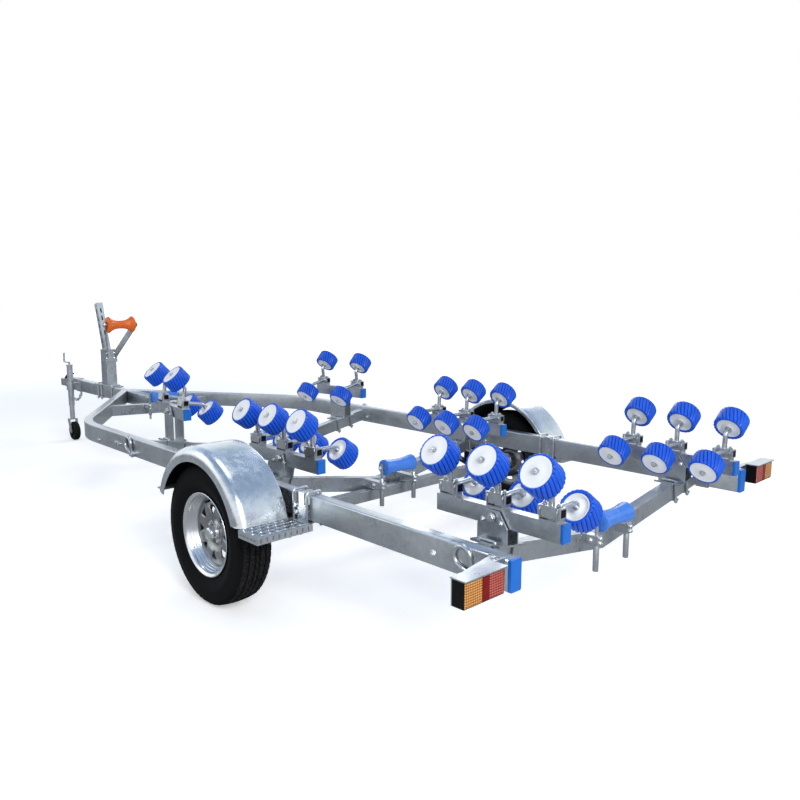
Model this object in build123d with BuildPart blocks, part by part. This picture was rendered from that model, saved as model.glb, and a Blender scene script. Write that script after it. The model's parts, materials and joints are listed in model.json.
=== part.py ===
from build123d import *
import os
from math import atan2, cos, degrees, hypot, radians, sin, tan

# A single-axle boat trailer with rocking roller cradles.
# X runs forward to the coupler, Y to the left and Z up; the origin is on the ground under the middle.
# "ahead" is a distance in front of the axle, "left" one from the middle, "up" one from the ground.

os.makedirs("parts", exist_ok=True)

# ---- driving dimensions, mm -------------------------------------------------
axle_x = -1459.0                # the axle, from the middle of the overall length

tyre_radius = 298.0             # 165 R 13
tyre_width = 165.0
wheel_left = 962.5              # middle plane of a tyre
rim_seat_radius = 164.7
rim_flange_radius = 177.0
rim_width = 125.0
rim_gauge = 4.0
disc_outset = 30.0              # wheel disc, outboard of the tyre's middle plane
window_count = 8
window_circle = 108.0
window_size = 24.0
spindle_radius = 17.0
hub_radius = 52.0
axle_beam = 50.0                # square tube
axle_height = tyre_radius

rail_height = 100.0
rail_width = 50.0
rail_wall = 3.0
rail_outer = 826.0              # outer face of a side rail, from the middle
rail_over_axle = 218.0          # top of the rails above the wheel centres
rail_rear = -1410.0
bend_ahead = 1830.0             # where the centre lines of the two straights meet
bend_radius = 350.0
vee_angle = 32.8

drawbar_width = 60.0
drawbar_wall = 4.0
drawbar_front = 4130.0

member_height = 70.0
member_width = 50.0
member_wall = 3.0

beam_height = 60.0              # rocking beams of the roller cradles
beam_width = 40.0
beam_wall = 3.0
beam_side_gap = 5.0             # to each cheek of its post
pair_pitch = 210.0              # between roller pairs on a three-pair beam
front_pair_pitch = 300.0        # and on a two-pair beam
beam_overhang = 48.0            # beam past its last roller pair
post_cheek = 6.0
post_length = 124.0
base_gauge = 8.0
base_reach = 66.0               # half the base plate, across the trailer
pivot_pin_radius = 9.0

roller_radius = 64.0
roller_length = 76.0
roller_edge = 11.0
hub_face_radius = 44.0
hub_recess = 4.0
bar_inset = 16.0                # bar's end below the roller's hub face
roller_spacing = 265.0          # between the two rollers of a pair, along their common axis
roller_tilt = 35.0              # slope of that axis, rising outboard
rocker_drop = 64.0              # axis of the pair above the rocker's own pivot
rocker_shift = 18.0             # pivot from mid-pair, towards the upper roller
rocker_height = 60.0            # rocker pivot above the middle of its beam
rocker_bar_radius = 10.0
rocker_tube = 38.0              # square tube that turns on the rocker pin
rocker_tube_length = 56.0
rocker_pin_radius = 8.0
saddle_gauge = 5.0

keel_radius = 40.0
keel_waist_radius = 31.0
keel_length = 190.0
keel_pin_radius = 8.0
keel_arm_height = 30.0

mudguard_radius = 352.0
mudguard_ahead = -10.0
mudguard_centre_over_axle = 22.0
mudguard_inner = 852.0
mudguard_outer = 1075.0
mudguard_gauge = 3.0
mudguard_shoulder = 42.0
mudguard_skirt = 62.0
mudguard_lip = 22.0
stay_drop = 70.0                # front stay's top below the rail's top

step_drop = 106.0               # step's top below the rail's top
step_rear = -470.0
step_front = -341.0
step_lip = 30.0
step_gauge = 4.0

spring_eye_reach = 300.0
spring_sag = 65.0
spring_width = 44.0
spring_pad = 8.0
leaf_gauge = 7.0
leaf_half_lengths = (300.0, 235.0, 165.0, 95.0)
eye_radius = 17.0
eye_pin_radius = 7.0

jockey_ahead = 3950.0
jockey_left = 105.0
jockey_tube_radius = 24.0
jockey_leg_radius = 20.0
jockey_tube_top = 655.0
jockey_tube_bottom = 300.0
jockey_wheel_radius = 80.0
jockey_wheel_width = 46.0
jockey_trail = 34.0
jockey_clamp_height = 60.0
jockey_rise = 100.0             # travel of the leg up into its tube
jockey_pin_radius = 8.0

post_ahead = 3370.0             # winch post
post_depth = 110.0
post_width = 80.0
post_base_length = 340.0
post_clamp_places = (3255.0, 3455.0, 3525.0)
post_top = 300.0                # lower post above the drawbar
mast_side = 50.0
mast_top = 667.0                # mast above the drawbar
mast_lean = 17.3
bow_behind = 263.0              # bow roller behind the winch post
bow_over = 508.0                # and above the drawbar
bow_radius = 64.0
bow_waist_radius = 38.0
bow_length = 220.0
bow_pin_radius = 9.0

ball_radius = 25.2
ball_ahead = 4352.0
ball_depth = 36.0
socket_mouth = 436.0
coupler_nose_radius = 40.0
coupler_wall = 5.0

lamp_outer = 1056.0
lamp_width = 170.0
lamp_height = 80.0
lamp_depth = 36.0
lens_depth = 12.0
bracket_gauge = 4.0

chain_wire = 4.0                # wire radius
chain_link_length = 44.0
chain_link_width = 27.0
chain_slack = 0.6
chain_count = 14
chain_steep_front = radians(80.0)   # slope of the chain where it leaves the coupler
chain_steep_rear = radians(64.0)    # and where it comes up to the drawbar
chain_pin_radius = 5.0
chain_pin_behind = 75.0         # pin behind the ball's middle
chain_eye_room = 7.4

loop_gauge = 10.0
loop_bar = 13.0
cap_gauge = 12.0
clamp_wire = 5.0                # U-bolts
run_gap = 0.05                  # radial clearance of a turning fit
seat_gap = 0.3                  # between curved faces that only lie together

# ---- places worked out from them ---------------------------------------------
rail_top = axle_height + rail_over_axle
rail_mid = rail_top - rail_height / 2
rail_bottom = rail_top - rail_height
rail_centre = rail_outer - rail_width / 2
rail_inner = rail_outer - rail_width
vee_slope = tan(radians(vee_angle))
inner_corner = bend_ahead - rail_width / 2 * tan(radians(vee_angle / 2))
inner_tip = inner_corner + (rail_inner - drawbar_width / 2) / vee_slope
step_top = rail_top - step_drop
stay_top = rail_top - stay_drop

# cross-members, rear to front: ahead, top at the middle, top at the rail, both below the rail's top
members = {
    "rear": (-1200.0, 141.0, 26.0),
    "middle": (75.0, 166.0, 31.0),
    "second": (1100.0, 162.0, 15.0),
    "front": (2480.0, 46.0, 12.0),
}
# keel rollers: their middle above the member's top, and behind the member's middle
keel_places = {"rear": (64.0, 62.0), "middle": (88.0, 146.0), "second": (80.0, 62.0), "front": (58.0, 62.0)}
# cradles: member it stands on, left of the middle, beam's middle below (-) or above the rail's top,
# number of roller pairs, toe-in, extra swing of the rocker arms, pivot ahead of its member
cradles = {
    "rear": ("rear", 615.0, 44.0, 3, 0.0, 0.0, 0.0),
    "middle": ("middle", 608.0, 40.0, 3, 0.0, 0.0, -55.0),
    "front": ("second", 588.0, 124.0, 2, 7.0, 12.0, 0.0),
}


def spot(ahead, left, up):
    """A point given from the axle, the middle plane and the ground."""
    return (axle_x + ahead, left, up)


def member_top(name, left):
    """Height of a cross-member's top at a distance from the middle."""
    ahead, middle_drop, rail_drop = members[name]
    share = abs(left) / rail_inner
    return rail_top - middle_drop + (middle_drop - rail_drop) * share


def save(part, name):
    part.label = name
    export_step(part, f"parts/{name}.step")


def save_pair(part, name):
    """Write a left-hand piece and its mirror image."""
    save(part, f"{name}_left")
    with BuildPart() as other:
        mirror(part, about=Plane.XZ)
    save(other.part, f"{name}_right")


def both_sides(part):
    """A left-hand piece and its mirror image, as one node."""
    with BuildPart() as pair:
        add(part)
        mirror(part, about=Plane.XZ)
    return pair.part


def clamp(bar, height, length=0.0, wire=clamp_wire, plate=6.0):
    """A U-bolt over a bar of a given width and height: crown on top, legs down through a plate.
    The bar's top middle is at the origin and it runs along Y."""
    reach = bar / 2 + wire + 1
    foot = -height - plate - 12
    with BuildPart() as bolt:
        with BuildLine(Plane.XZ):
            FilletPolyline(
                (-reach, foot), (-reach, wire + length), (reach, wire + length), (reach, foot), radius=wire * 1.2
            )
        with BuildSketch(Plane.XY.offset(foot)):
            with Locations((-reach, 0)):
                Circle(wire)
        sweep()
        with BuildSketch(Plane.XY.offset(-height)):
            RectangleRounded(bar + 6 * wire, 5 * wire, wire)
        extrude(amount=-plate)
        with BuildSketch(Plane.XY.offset(-height - plate)):
            with Locations((-reach, 0), (reach, 0)):
                RegularPolygon(wire * 1.7, 6)
        extrude(amount=-wire * 1.6)
    return bolt.part


# ---- side rails, drawbar and cross-members -------------------------------------
with BuildPart() as rail_left:
    with BuildLine(Plane.XY.offset(rail_mid)):
        FilletPolyline(
            (axle_x + rail_rear, rail_centre),
            (axle_x + bend_ahead, rail_centre),
            (axle_x + bend_ahead + rail_centre / vee_slope, 0),
            radius=bend_radius,
        )
    with BuildSketch(Plane(origin=spot(rail_rear, rail_centre, rail_mid), x_dir=(0, 1, 0), z_dir=(1, 0, 0))):
        Rectangle(rail_width, rail_height)
        Rectangle(rail_width - 2 * rail_wall, rail_height - 2 * rail_wall, mode=Mode.SUBTRACT)
    sweep()
    with BuildSketch(Plane.XY.offset(rail_bottom - 1)):
        with Locations((axle_x + inner_tip, 0)):
            Rectangle(600, drawbar_width)
    extrude(amount=rail_height + 2, mode=Mode.SUBTRACT)
    split(bisect_by=Plane.XZ.offset(-drawbar_width / 2), keep=Keep.BOTTOM)
save_pair(rail_left.part, "rail")

front_member_face = members["front"][0] + member_width / 2
with BuildPart() as drawbar:
    with BuildSketch(Plane.YZ.offset(axle_x + front_member_face)):
        with Locations((0, rail_mid)):
            Rectangle(drawbar_width, rail_height)
            Rectangle(drawbar_width - 2 * drawbar_wall, rail_height - 2 * drawbar_wall, mode=Mode.SUBTRACT)
    extrude(amount=drawbar_front - front_member_face)
save(drawbar.part, "drawbar")

with BuildPart() as cross_members:
    for name, (ahead, middle_drop, rail_drop) in members.items():
        low = rail_top - middle_drop
        high = rail_top - rail_drop
        for inset, mode in ((0.0, Mode.ADD), (member_wall, Mode.SUBTRACT)):
            with BuildSketch(Plane.YZ.offset(axle_x + ahead)):
                with BuildLine():
                    Polyline(
                        (-rail_inner, high - inset),
                        (0, low - inset),
                        (rail_inner, high - inset),
                        (rail_inner, high - member_height + inset),
                        (0, low - member_height + inset),
                        (-rail_inner, high - member_height + inset),
                        close=True,
                    )
                make_face()
            extrude(amount=member_width / 2 - inset, both=True, mode=mode)
    with BuildSketch(Plane.XY):
        with BuildLine():
            Polyline(
                (axle_x + rail_rear, -rail_inner),
                (axle_x + inner_corner, -rail_inner),
                (axle_x + inner_tip, -drawbar_width / 2),
                (axle_x + inner_tip, drawbar_width / 2),
                (axle_x + inner_corner, rail_inner),
                (axle_x + rail_rear, rail_inner),
                close=True,
            )
        make_face()
    extrude(amount=rail_top, mode=Mode.INTERSECT)
save(cross_members.part, "cross_members")

with BuildPart() as rail_caps:
    with BuildSketch(Plane.YZ.offset(axle_x + rail_rear)):
        with Locations((rail_centre, rail_mid)):
            RectangleRounded(rail_width, rail_height, 5)
    extrude(amount=-cap_gauge)
    with BuildSketch(Plane.YZ.offset(axle_x + rail_rear)):
        with Locations((rail_centre, rail_mid)):
            Rectangle(rail_width - 2 * rail_wall - 2 * seat_gap, rail_height - 2 * rail_wall - 2 * seat_gap)
    extrude(amount=20)
save(both_sides(rail_caps.part), "rail_end_caps")

# ---- tie-down loops on the rails' outer faces ----------------------------------
loops = ((-1245.0, -8.0), (1140.0, -8.0))      # ahead, top of the loop below the rail's top
with BuildPart() as tie_loops:
    for ahead, top_drop in loops:
        middle = rail_top - top_drop - 40
        with BuildSketch(Plane.XZ.offset(-rail_outer)):
            for shrink, mode in ((0.0, Mode.ADD), (loop_bar, Mode.SUBTRACT)):
                with BuildSketch(mode=Mode.PRIVATE) as outline:
                    with Locations((axle_x + ahead, middle)):
                        Circle(40 - shrink)
                    with Locations((axle_x + ahead - 14, middle - 46)):
                        Circle(19 - shrink)
                    make_hull()
                add(outline.sketch, mode=mode)
            with Locations((axle_x + ahead - 14, middle - 46)):
                Circle(19)
        extrude(amount=-loop_gauge)
        with BuildSketch(Plane.XZ.offset(-rail_outer - loop_gauge)):
            with Locations((axle_x + ahead - 14, middle - 46)):
                RegularPolygon(12, 6)
        extrude(amount=-8)
save(both_sides(tie_loops.part), "tie_down_loops")

# ---- axle, springs and hangers ---------------------------------------------------
spindle_end = wheel_left + disc_outset + 14
with BuildPart() as axle:
    with BuildSketch(Plane.XZ.offset(-wheel_left + 92)):
        with Locations((axle_x, axle_height)):
            Rectangle(axle_beam, axle_beam)
    extrude(amount=2 * (wheel_left - 92))
    with BuildSketch(Plane.XZ.offset(-spindle_end)):
        with Locations((axle_x, axle_height)):
            Circle(spindle_radius)
    extrude(amount=2 * spindle_end)
save(axle.part, "axle")

spring_top = axle_height - axle_beam / 2 - spring_pad
spring_radius = (spring_eye_reach**2 + spring_sag**2) / (2 * spring_sag)
eye_up = spring_top + spring_sag + eye_radius - leaf_gauge
with BuildPart() as springs:
    for index, half in enumerate(leaf_half_lengths):
        with BuildSketch(Plane.XZ.offset(-rail_centre - spring_width / 2)):
            with Locations((axle_x, spring_top + spring_radius)):
                Circle(spring_radius + (index + 1) * leaf_gauge)
                Circle(spring_radius + index * leaf_gauge, mode=Mode.SUBTRACT)
            with Locations((axle_x, spring_top)):
                Rectangle(2 * half, 4 * spring_sag, mode=Mode.INTERSECT)
        extrude(amount=spring_width)
    with BuildSketch(Plane.XZ.offset(-rail_centre - spring_width / 2)):
        with Locations((axle_x + spring_eye_reach, eye_up), (axle_x - spring_eye_reach, eye_up)):
            Circle(eye_radius)
    extrude(amount=spring_width)
    with BuildSketch(Plane.XZ.offset(-rail_centre - spring_width / 2)):
        with Locations((axle_x + spring_eye_reach, eye_up), (axle_x - spring_eye_reach, eye_up)):
            Circle(eye_pin_radius + seat_gap)
    extrude(amount=spring_width, mode=Mode.SUBTRACT)
    with BuildSketch(Plane.XY.offset(spring_top - 1)):
        with Locations((axle_x, rail_centre)):
            Rectangle(axle_beam + 24, spring_width)
    extrude(amount=spring_pad + 1)
    spring_bottom = spring_top - len(leaf_half_lengths) * leaf_gauge
    for side in (-1, 1):
        with Locations((axle_x, rail_centre + side * (spring_width / 2 + 8), axle_height + axle_beam / 2)):
            add(clamp(axle_beam, axle_height + axle_beam / 2 - spring_bottom, seat_gap))
save(both_sides(springs.part), "leaf_springs")

with BuildPart() as hangers:
    for side in (-1, 1):
        middle = axle_x + side * spring_eye_reach
        with BuildSketch(Plane.XZ.offset(-rail_centre)):
            with BuildLine():
                Polyline(
                    (middle - 38, rail_bottom),
                    (middle + 38, rail_bottom),
                    (middle + 22, eye_up - 22),
                    (middle - 22, eye_up - 22),
                    close=True,
                )
            make_face()
        extrude(amount=rail_width / 2 + 6, both=True)
        with BuildSketch(Plane.XZ.offset(-rail_centre)):
            with Locations((middle, rail_bottom / 2 - 5)):
                Rectangle(100, rail_bottom)
        extrude(amount=spring_width / 2 + 1, both=True, mode=Mode.SUBTRACT)
        with BuildSketch(Plane.XZ.offset(-rail_centre)):
            with Locations((middle, eye_up)):
                Circle(eye_pin_radius)
        extrude(amount=rail_width / 2 + 14, both=True)
save(both_sides(hangers.part), "spring_hangers")

# ---- wheels -----------------------------------------------------------------------
wheel_axis = Axis(spot(0, 0, axle_height), (0, 1, 0))
half_rim = rim_width / 2
half_tyre = tyre_width / 2
disc_face = wheel_left + disc_outset
with BuildPart() as rim:
    with BuildSketch(Plane.YZ.offset(axle_x)):
        with BuildLine():
            Polyline(
                (wheel_left - half_rim - 6, axle_height + rim_flange_radius),
                (wheel_left - half_rim, axle_height + rim_seat_radius - rim_gauge),
                (wheel_left - half_rim + 34, axle_height + rim_seat_radius - rim_gauge),
                (wheel_left - half_rim + 46, axle_height + rim_seat_radius - 20),
                (wheel_left + half_rim - 42, axle_height + rim_seat_radius - 20),
                (wheel_left + half_rim - 32, axle_height + rim_seat_radius - rim_gauge),
                (wheel_left + half_rim, axle_height + rim_seat_radius - rim_gauge),
                (wheel_left + half_rim + 6, axle_height + rim_flange_radius),
                (wheel_left + half_rim, axle_height + rim_flange_radius),
                (wheel_left + half_rim - 6, axle_height + rim_seat_radius),
                (wheel_left + half_rim - 34, axle_height + rim_seat_radius),
                (wheel_left + half_rim - 44, axle_height + rim_seat_radius - 16),
                (wheel_left - half_rim + 48, axle_height + rim_seat_radius - 16),
                (wheel_left - half_rim + 36, axle_height + rim_seat_radius),
                (wheel_left - half_rim + 6, axle_height + rim_seat_radius),
                (wheel_left - half_rim, axle_height + rim_flange_radius),
                close=True,
            )
        make_face()
    revolve(axis=wheel_axis)
    with BuildSketch(Plane.YZ.offset(axle_x)):
        with BuildLine():
            Polyline(
                (disc_face - 5, axle_height),
                (disc_face - 5, axle_height + 62),
                (disc_face + 12, axle_height + 84),
                (disc_face + 6, axle_height + 118),
                (disc_face - 18, axle_height + rim_seat_radius - 19),
                (disc_face - 12, axle_height + rim_seat_radius - 19),
                (disc_face + 12, axle_height + 119),
                (disc_face + 18, axle_height + 84),
                (disc_face, axle_height + 58),
                (disc_face, axle_height),
                close=True,
            )
        make_face()
    revolve(axis=wheel_axis)
    with BuildSketch(Plane.XZ.offset(-disc_face - 30)):
        with Locations((axle_x, axle_height)):
            with PolarLocations(window_circle, window_count):
                RegularPolygon(window_size, 3)
    extrude(amount=60, mode=Mode.SUBTRACT)
    with BuildSketch(Plane.XZ.offset(-wheel_left + 84)):
        with Locations((axle_x, axle_height)):
            Circle(hub_radius)
    extrude(amount=-(disc_outset + 82))
    with BuildSketch(Plane.XZ.offset(-disc_face)):
        with Locations((axle_x, axle_height)):
            Circle(hub_radius * 0.62)
            with PolarLocations(40, 4):
                RegularPolygon(10, 6)
    extrude(amount=-15)
    with BuildSketch(Plane.XZ.offset(-disc_face - 15)):
        with Locations((axle_x, axle_height)):
            Circle(hub_radius * 0.5)
    extrude(amount=-12)
    with BuildSketch(Plane.XZ.offset(-wheel_left + 90)):
        with Locations((axle_x, axle_height)):
            Circle(spindle_radius + run_gap)
    extrude(amount=-(90 + disc_outset + 16), mode=Mode.SUBTRACT)
save_pair(rim.part, "rim")

with BuildPart() as tyre:
    with BuildSketch(Plane.YZ.offset(axle_x)):
        with BuildLine():
            Polyline(
                (wheel_left - half_rim + 8, axle_height + rim_seat_radius + seat_gap),
                (wheel_left + half_rim - 8, axle_height + rim_seat_radius + seat_gap),
                (wheel_left + half_rim - 2, axle_height + rim_flange_radius + 4),
                (wheel_left + half_tyre - 6, axle_height + 205),
                (wheel_left + half_tyre, axle_height + 235),
                (wheel_left + half_tyre - 7, axle_height + 270),
                (wheel_left + half_tyre - 20, axle_height + tyre_radius - 7),
                (wheel_left + half_tyre - 34, axle_height + tyre_radius),
                (wheel_left - half_tyre + 34, axle_height + tyre_radius),
                (wheel_left - half_tyre + 20, axle_height + tyre_radius - 7),
                (wheel_left - half_tyre + 7, axle_height + 270),
                (wheel_left - half_tyre, axle_height + 235),
                (wheel_left - half_tyre + 6, axle_height + 205),
                (wheel_left - half_rim + 2, axle_height + rim_flange_radius + 4),
                close=True,
            )
        make_face()
    revolve(axis=wheel_axis)
save_pair(tyre.part, "tyre")

# ---- mudguards, their stays and the step plates -------------------------------------
guard_up = axle_height + mudguard_centre_over_axle
guard_x = axle_x + mudguard_ahead
guard_width = mudguard_outer - mudguard_inner
guard_reach = radians(86.0)     # the sheet runs this far each way from its crown
guard_inside = mudguard_inner + mudguard_gauge
guard_outside = mudguard_outer - mudguard_gauge
guard_plane = Plane(
    origin=(guard_x, 0, guard_up), x_dir=(0, 1, 0), z_dir=(cos(guard_reach), 0, -sin(guard_reach))
)
with BuildPart() as mudguard:
    with BuildSketch(guard_plane):
        with BuildLine():
            FilletPolyline(
                (mudguard_inner, mudguard_radius - mudguard_lip),
                (mudguard_inner, mudguard_radius),
                (mudguard_outer, mudguard_radius),
                (mudguard_outer, mudguard_radius - mudguard_skirt),
                radius=(8, mudguard_shoulder),
            )
            Line((mudguard_outer, mudguard_radius - mudguard_skirt), (guard_outside, mudguard_radius - mudguard_skirt))
            FilletPolyline(
                (guard_outside, mudguard_radius - mudguard_skirt),
                (guard_outside, mudguard_radius - mudguard_gauge),
                (guard_inside, mudguard_radius - mudguard_gauge),
                (guard_inside, mudguard_radius - mudguard_lip),
                radius=(mudguard_shoulder - mudguard_gauge, 8 - mudguard_gauge),
            )
            Line((guard_inside, mudguard_radius - mudguard_lip), (mudguard_inner, mudguard_radius - mudguard_lip))
        make_face()
    revolve(axis=Axis((guard_x, 0, guard_up), (0, -1, 0)), revolution_arc=2 * degrees(guard_reach))
    with BuildSketch(Plane.XY.offset(stay_top)):
        with Locations((guard_x + 300, mudguard_inner + guard_width / 2)):
            Rectangle(600, 2 * guard_width)
    extrude(amount=-stay_top, mode=Mode.SUBTRACT)
    with BuildSketch(Plane.XY.offset(step_top)):
        with Locations((guard_x - 300, mudguard_inner + guard_width / 2)):
            Rectangle(600, 2 * guard_width)
    extrude(amount=-step_top, mode=Mode.SUBTRACT)
save_pair(mudguard.part, "mudguard")

stay_reach = (mudguard_radius**2 - (stay_top - guard_up) ** 2) ** 0.5
with BuildPart() as stays:
    with BuildSketch(Plane.XY.offset(stay_top)):
        with Locations((guard_x + stay_reach - 18, (rail_outer + mudguard_outer) / 2 - 4)):
            Rectangle(50, mudguard_outer - rail_outer - 8)
    extrude(amount=-6)
    with BuildSketch(Plane.XZ.offset(-rail_outer)):
        with Locations((guard_x + stay_reach - 18, stay_top)):
            Rectangle(50, 60)
    extrude(amount=-6)
save(both_sides(stays.part), "mudguard_stays")

step_length = step_front - step_rear
step_middle = axle_x + (step_front + step_rear) / 2
step_width = mudguard_outer - rail_outer
slots_along = 5
slots_across = 8
with BuildPart() as steps:
    with BuildSketch(Plane.XY.offset(step_top)):
        with Locations((step_middle, (rail_outer + mudguard_outer) / 2)):
            Rectangle(step_length, step_width)
    extrude(amount=-step_gauge)
    with BuildSketch(Plane.XY.offset(step_top)):
        with Locations((step_middle, (rail_outer + mudguard_outer) / 2)):
            Rectangle(step_length, step_width)
            Rectangle(step_length - 2 * step_gauge, step_width - 2 * step_gauge, mode=Mode.SUBTRACT)
    extrude(amount=-step_lip)
    with BuildSketch(Plane.XY.offset(step_top)):
        with Locations((step_middle, (rail_outer + mudguard_outer) / 2)):
            with GridLocations(
                step_length / (slots_along + 1), step_width / (slots_across + 1), slots_along, slots_across
            ):
                Rectangle(14, 7)
    extrude(amount=-step_gauge, mode=Mode.SUBTRACT)
    with BuildSketch(Plane.XZ.offset(-rail_outer)):
        with Locations((step_middle, step_top + 30)):
            Rectangle(60, 68)
    extrude(amount=-step_gauge)
    with BuildSketch(Plane.XZ.offset(-rail_centre)):
        with Locations((step_middle, rail_mid)):
            Rectangle(34, rail_height + 8)
    extrude(amount=rail_width / 2 + 4, both=True)
    with BuildSketch(Plane.XZ.offset(-rail_centre)):
        with Locations((step_middle, rail_mid)):
            Rectangle(90, rail_height)
    extrude(amount=rail_width / 2, both=True, mode=Mode.SUBTRACT)
save(both_sides(steps.part), "step_plates")

# ---- tail lamps ------------------------------------------------------------------------
lamp_up = rail_top - 34
lamp_front = rail_rear + 10
lamp_middle = lamp_outer - lamp_width / 2
with BuildPart() as lamp_brackets:
    with BuildSketch(Plane.YZ.offset(axle_x + lamp_front)):
        with Locations(((rail_outer + lamp_outer) / 2, lamp_up)):
            Rectangle(lamp_outer - rail_outer, lamp_height)
    extrude(amount=bracket_gauge)
    with BuildSketch(Plane.YZ.offset(axle_x + lamp_front + bracket_gauge)):
        with Locations((lamp_middle, lamp_up + lamp_height / 2 + bracket_gauge / 2)):
            Rectangle(lamp_width + 10, bracket_gauge)
    extrude(amount=-(lamp_depth + lens_depth + 6 + bracket_gauge))
    with BuildSketch(Plane.XZ.offset(-rail_outer)):
        with Locations((axle_x + lamp_front + 30, lamp_up)):
            Rectangle(60, lamp_height - 6)
    extrude(amount=-bracket_gauge)
save(both_sides(lamp_brackets.part), "lamp_brackets")

with BuildPart() as lamp_housings:
    with BuildSketch(Plane.YZ.offset(axle_x + lamp_front)):
        with Locations((lamp_middle, lamp_up)):
            Rectangle(lamp_width, lamp_height)
    extrude(amount=-lamp_depth)
save(both_sides(lamp_housings.part), "lamp_housings")

# lenses: colour, inner and outer edge as shares of the lamp's width from its inner end
lens_shares = {"amber": ((0.575, 0.985),), "red": ((0.015, 0.385), (0.40, 0.56))}
for colour, shares in lens_shares.items():
    with BuildPart() as lens:
        for low, high in shares:
            with BuildSketch(Plane.YZ.offset(axle_x + lamp_front - lamp_depth)):
                with Locations((lamp_outer - lamp_width + (low + high) / 2 * lamp_width, lamp_up)):
                    Rectangle((high - low) * lamp_width, lamp_height - 6)
            extrude(amount=-lens_depth)
    save(both_sides(lens.part), f"lamp_lenses_{colour}")

# ---- keel rollers ---------------------------------------------------------------------------
keel_leg = 7.0
keel_leg_left = keel_length / 2 + keel_leg + 6
with BuildPart() as keel_brackets:
    for name, (rise, behind) in keel_places.items():
        ahead = members[name][0] - behind
        top = member_top(name, 0)
        arm = behind - member_width / 2
        for side in (-1, 1):
            left = side * keel_leg_left
            with BuildSketch(Plane.XY.offset(top - member_height - 30)):
                with Locations((axle_x + ahead, left)):
                    Circle(keel_leg)
            extrude(amount=member_height + 30 + rise + 18)
            with BuildSketch(Plane.XY.offset(member_top(name, left) - keel_arm_height - 4)):
                with Locations((axle_x + ahead + arm / 2 - keel_leg / 2, left)):
                    Rectangle(arm + keel_leg, 24)
            extrude(amount=keel_arm_height)
        with BuildSketch(Plane.XZ.offset(-keel_leg_left)):
            with Locations((axle_x + ahead, top + rise)):
                Circle(keel_pin_radius)
        extrude(amount=2 * keel_leg_left)
save(keel_brackets.part, "keel_brackets")

for name, (rise, behind) in keel_places.items():
    ahead = members[name][0] - behind
    up = member_top(name, 0) + rise
    with BuildPart() as keel_roller:
        with BuildSketch(Plane.YZ.offset(axle_x + ahead)):
            with BuildLine():
                Polyline(
                    (-keel_length / 2, up + keel_radius),
                    (-keel_length / 2, up + keel_pin_radius + run_gap),
                    (keel_length / 2, up + keel_pin_radius + run_gap),
                    (keel_length / 2, up + keel_radius),
                )
                ThreePointArc(
                    (keel_length / 2, up + keel_radius), (0, up + keel_waist_radius), (-keel_length / 2, up + keel_radius)
                )
            make_face()
        revolve(axis=Axis(spot(ahead, 0, up), (0, 1, 0)))
    save(keel_roller.part, f"keel_roller_{name}")

# ---- roller cradles ------------------------------------------------------------------------------
tilt = radians(roller_tilt)
along = (cos(tilt), sin(tilt))                 # across the trailer and up, along a pair's axis
down = (sin(tilt), -cos(tilt))                 # square to it, towards the rocker pivot


def pair_point(reach, drop=0.0):
    """Across and up from the rocker pivot, at a reach along the pair's axis from mid-pair."""
    return (
        (reach - rocker_shift) * along[0] + (drop - rocker_drop) * down[0],
        (reach - rocker_shift) * along[1] + (drop - rocker_drop) * down[1],
    )


half_pair = roller_spacing / 2
bar_bend = half_pair - roller_length / 2 - 26
with BuildPart() as rocker:
    with BuildLine(Plane.YZ):
        FilletPolyline(
            pair_point(half_pair + roller_length / 2 - bar_inset),
            pair_point(bar_bend),
            (0, 0),
            pair_point(-bar_bend),
            pair_point(-half_pair - roller_length / 2 + bar_inset),
            radius=22,
        )
    start = pair_point(half_pair + roller_length / 2 - bar_inset)
    with BuildSketch(Plane(origin=(0, *start), x_dir=(1, 0, 0), z_dir=(0, *along))):
        Circle(rocker_bar_radius)
    sweep()
    with BuildSketch(Plane.YZ):
        Rectangle(rocker_tube, rocker_tube)
    extrude(amount=rocker_tube_length / 2, both=True)
    with BuildSketch(Plane.YZ):
        Circle(rocker_pin_radius + seat_gap)
    extrude(amount=rocker_tube_length, both=True, mode=Mode.SUBTRACT)

with BuildPart() as wobble_roller:
    with BuildSketch(Plane.XZ):
        with BuildLine():
            Polyline(
                (rocker_bar_radius + seat_gap, -roller_length / 2),
                (roller_radius - roller_edge, -roller_length / 2),
                (roller_radius, -roller_length / 2 + roller_edge),
                (roller_radius, roller_length / 2 - roller_edge),
                (roller_radius - roller_edge, roller_length / 2),
                (hub_face_radius, roller_length / 2),
                (hub_face_radius, roller_length / 2 - hub_recess),
                (0, roller_length / 2 - hub_recess),
                (0, roller_length / 2 - bar_inset + seat_gap),
                (rocker_bar_radius + seat_gap, roller_length / 2 - bar_inset + seat_gap),
                close=True,
            )
        make_face()
    revolve(axis=Axis.Z)


def upright(part, place):
    """A piece made at the origin, set in its place."""
    with BuildPart() as placed:
        with Locations(place):
            add(part)
    return placed.part


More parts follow.
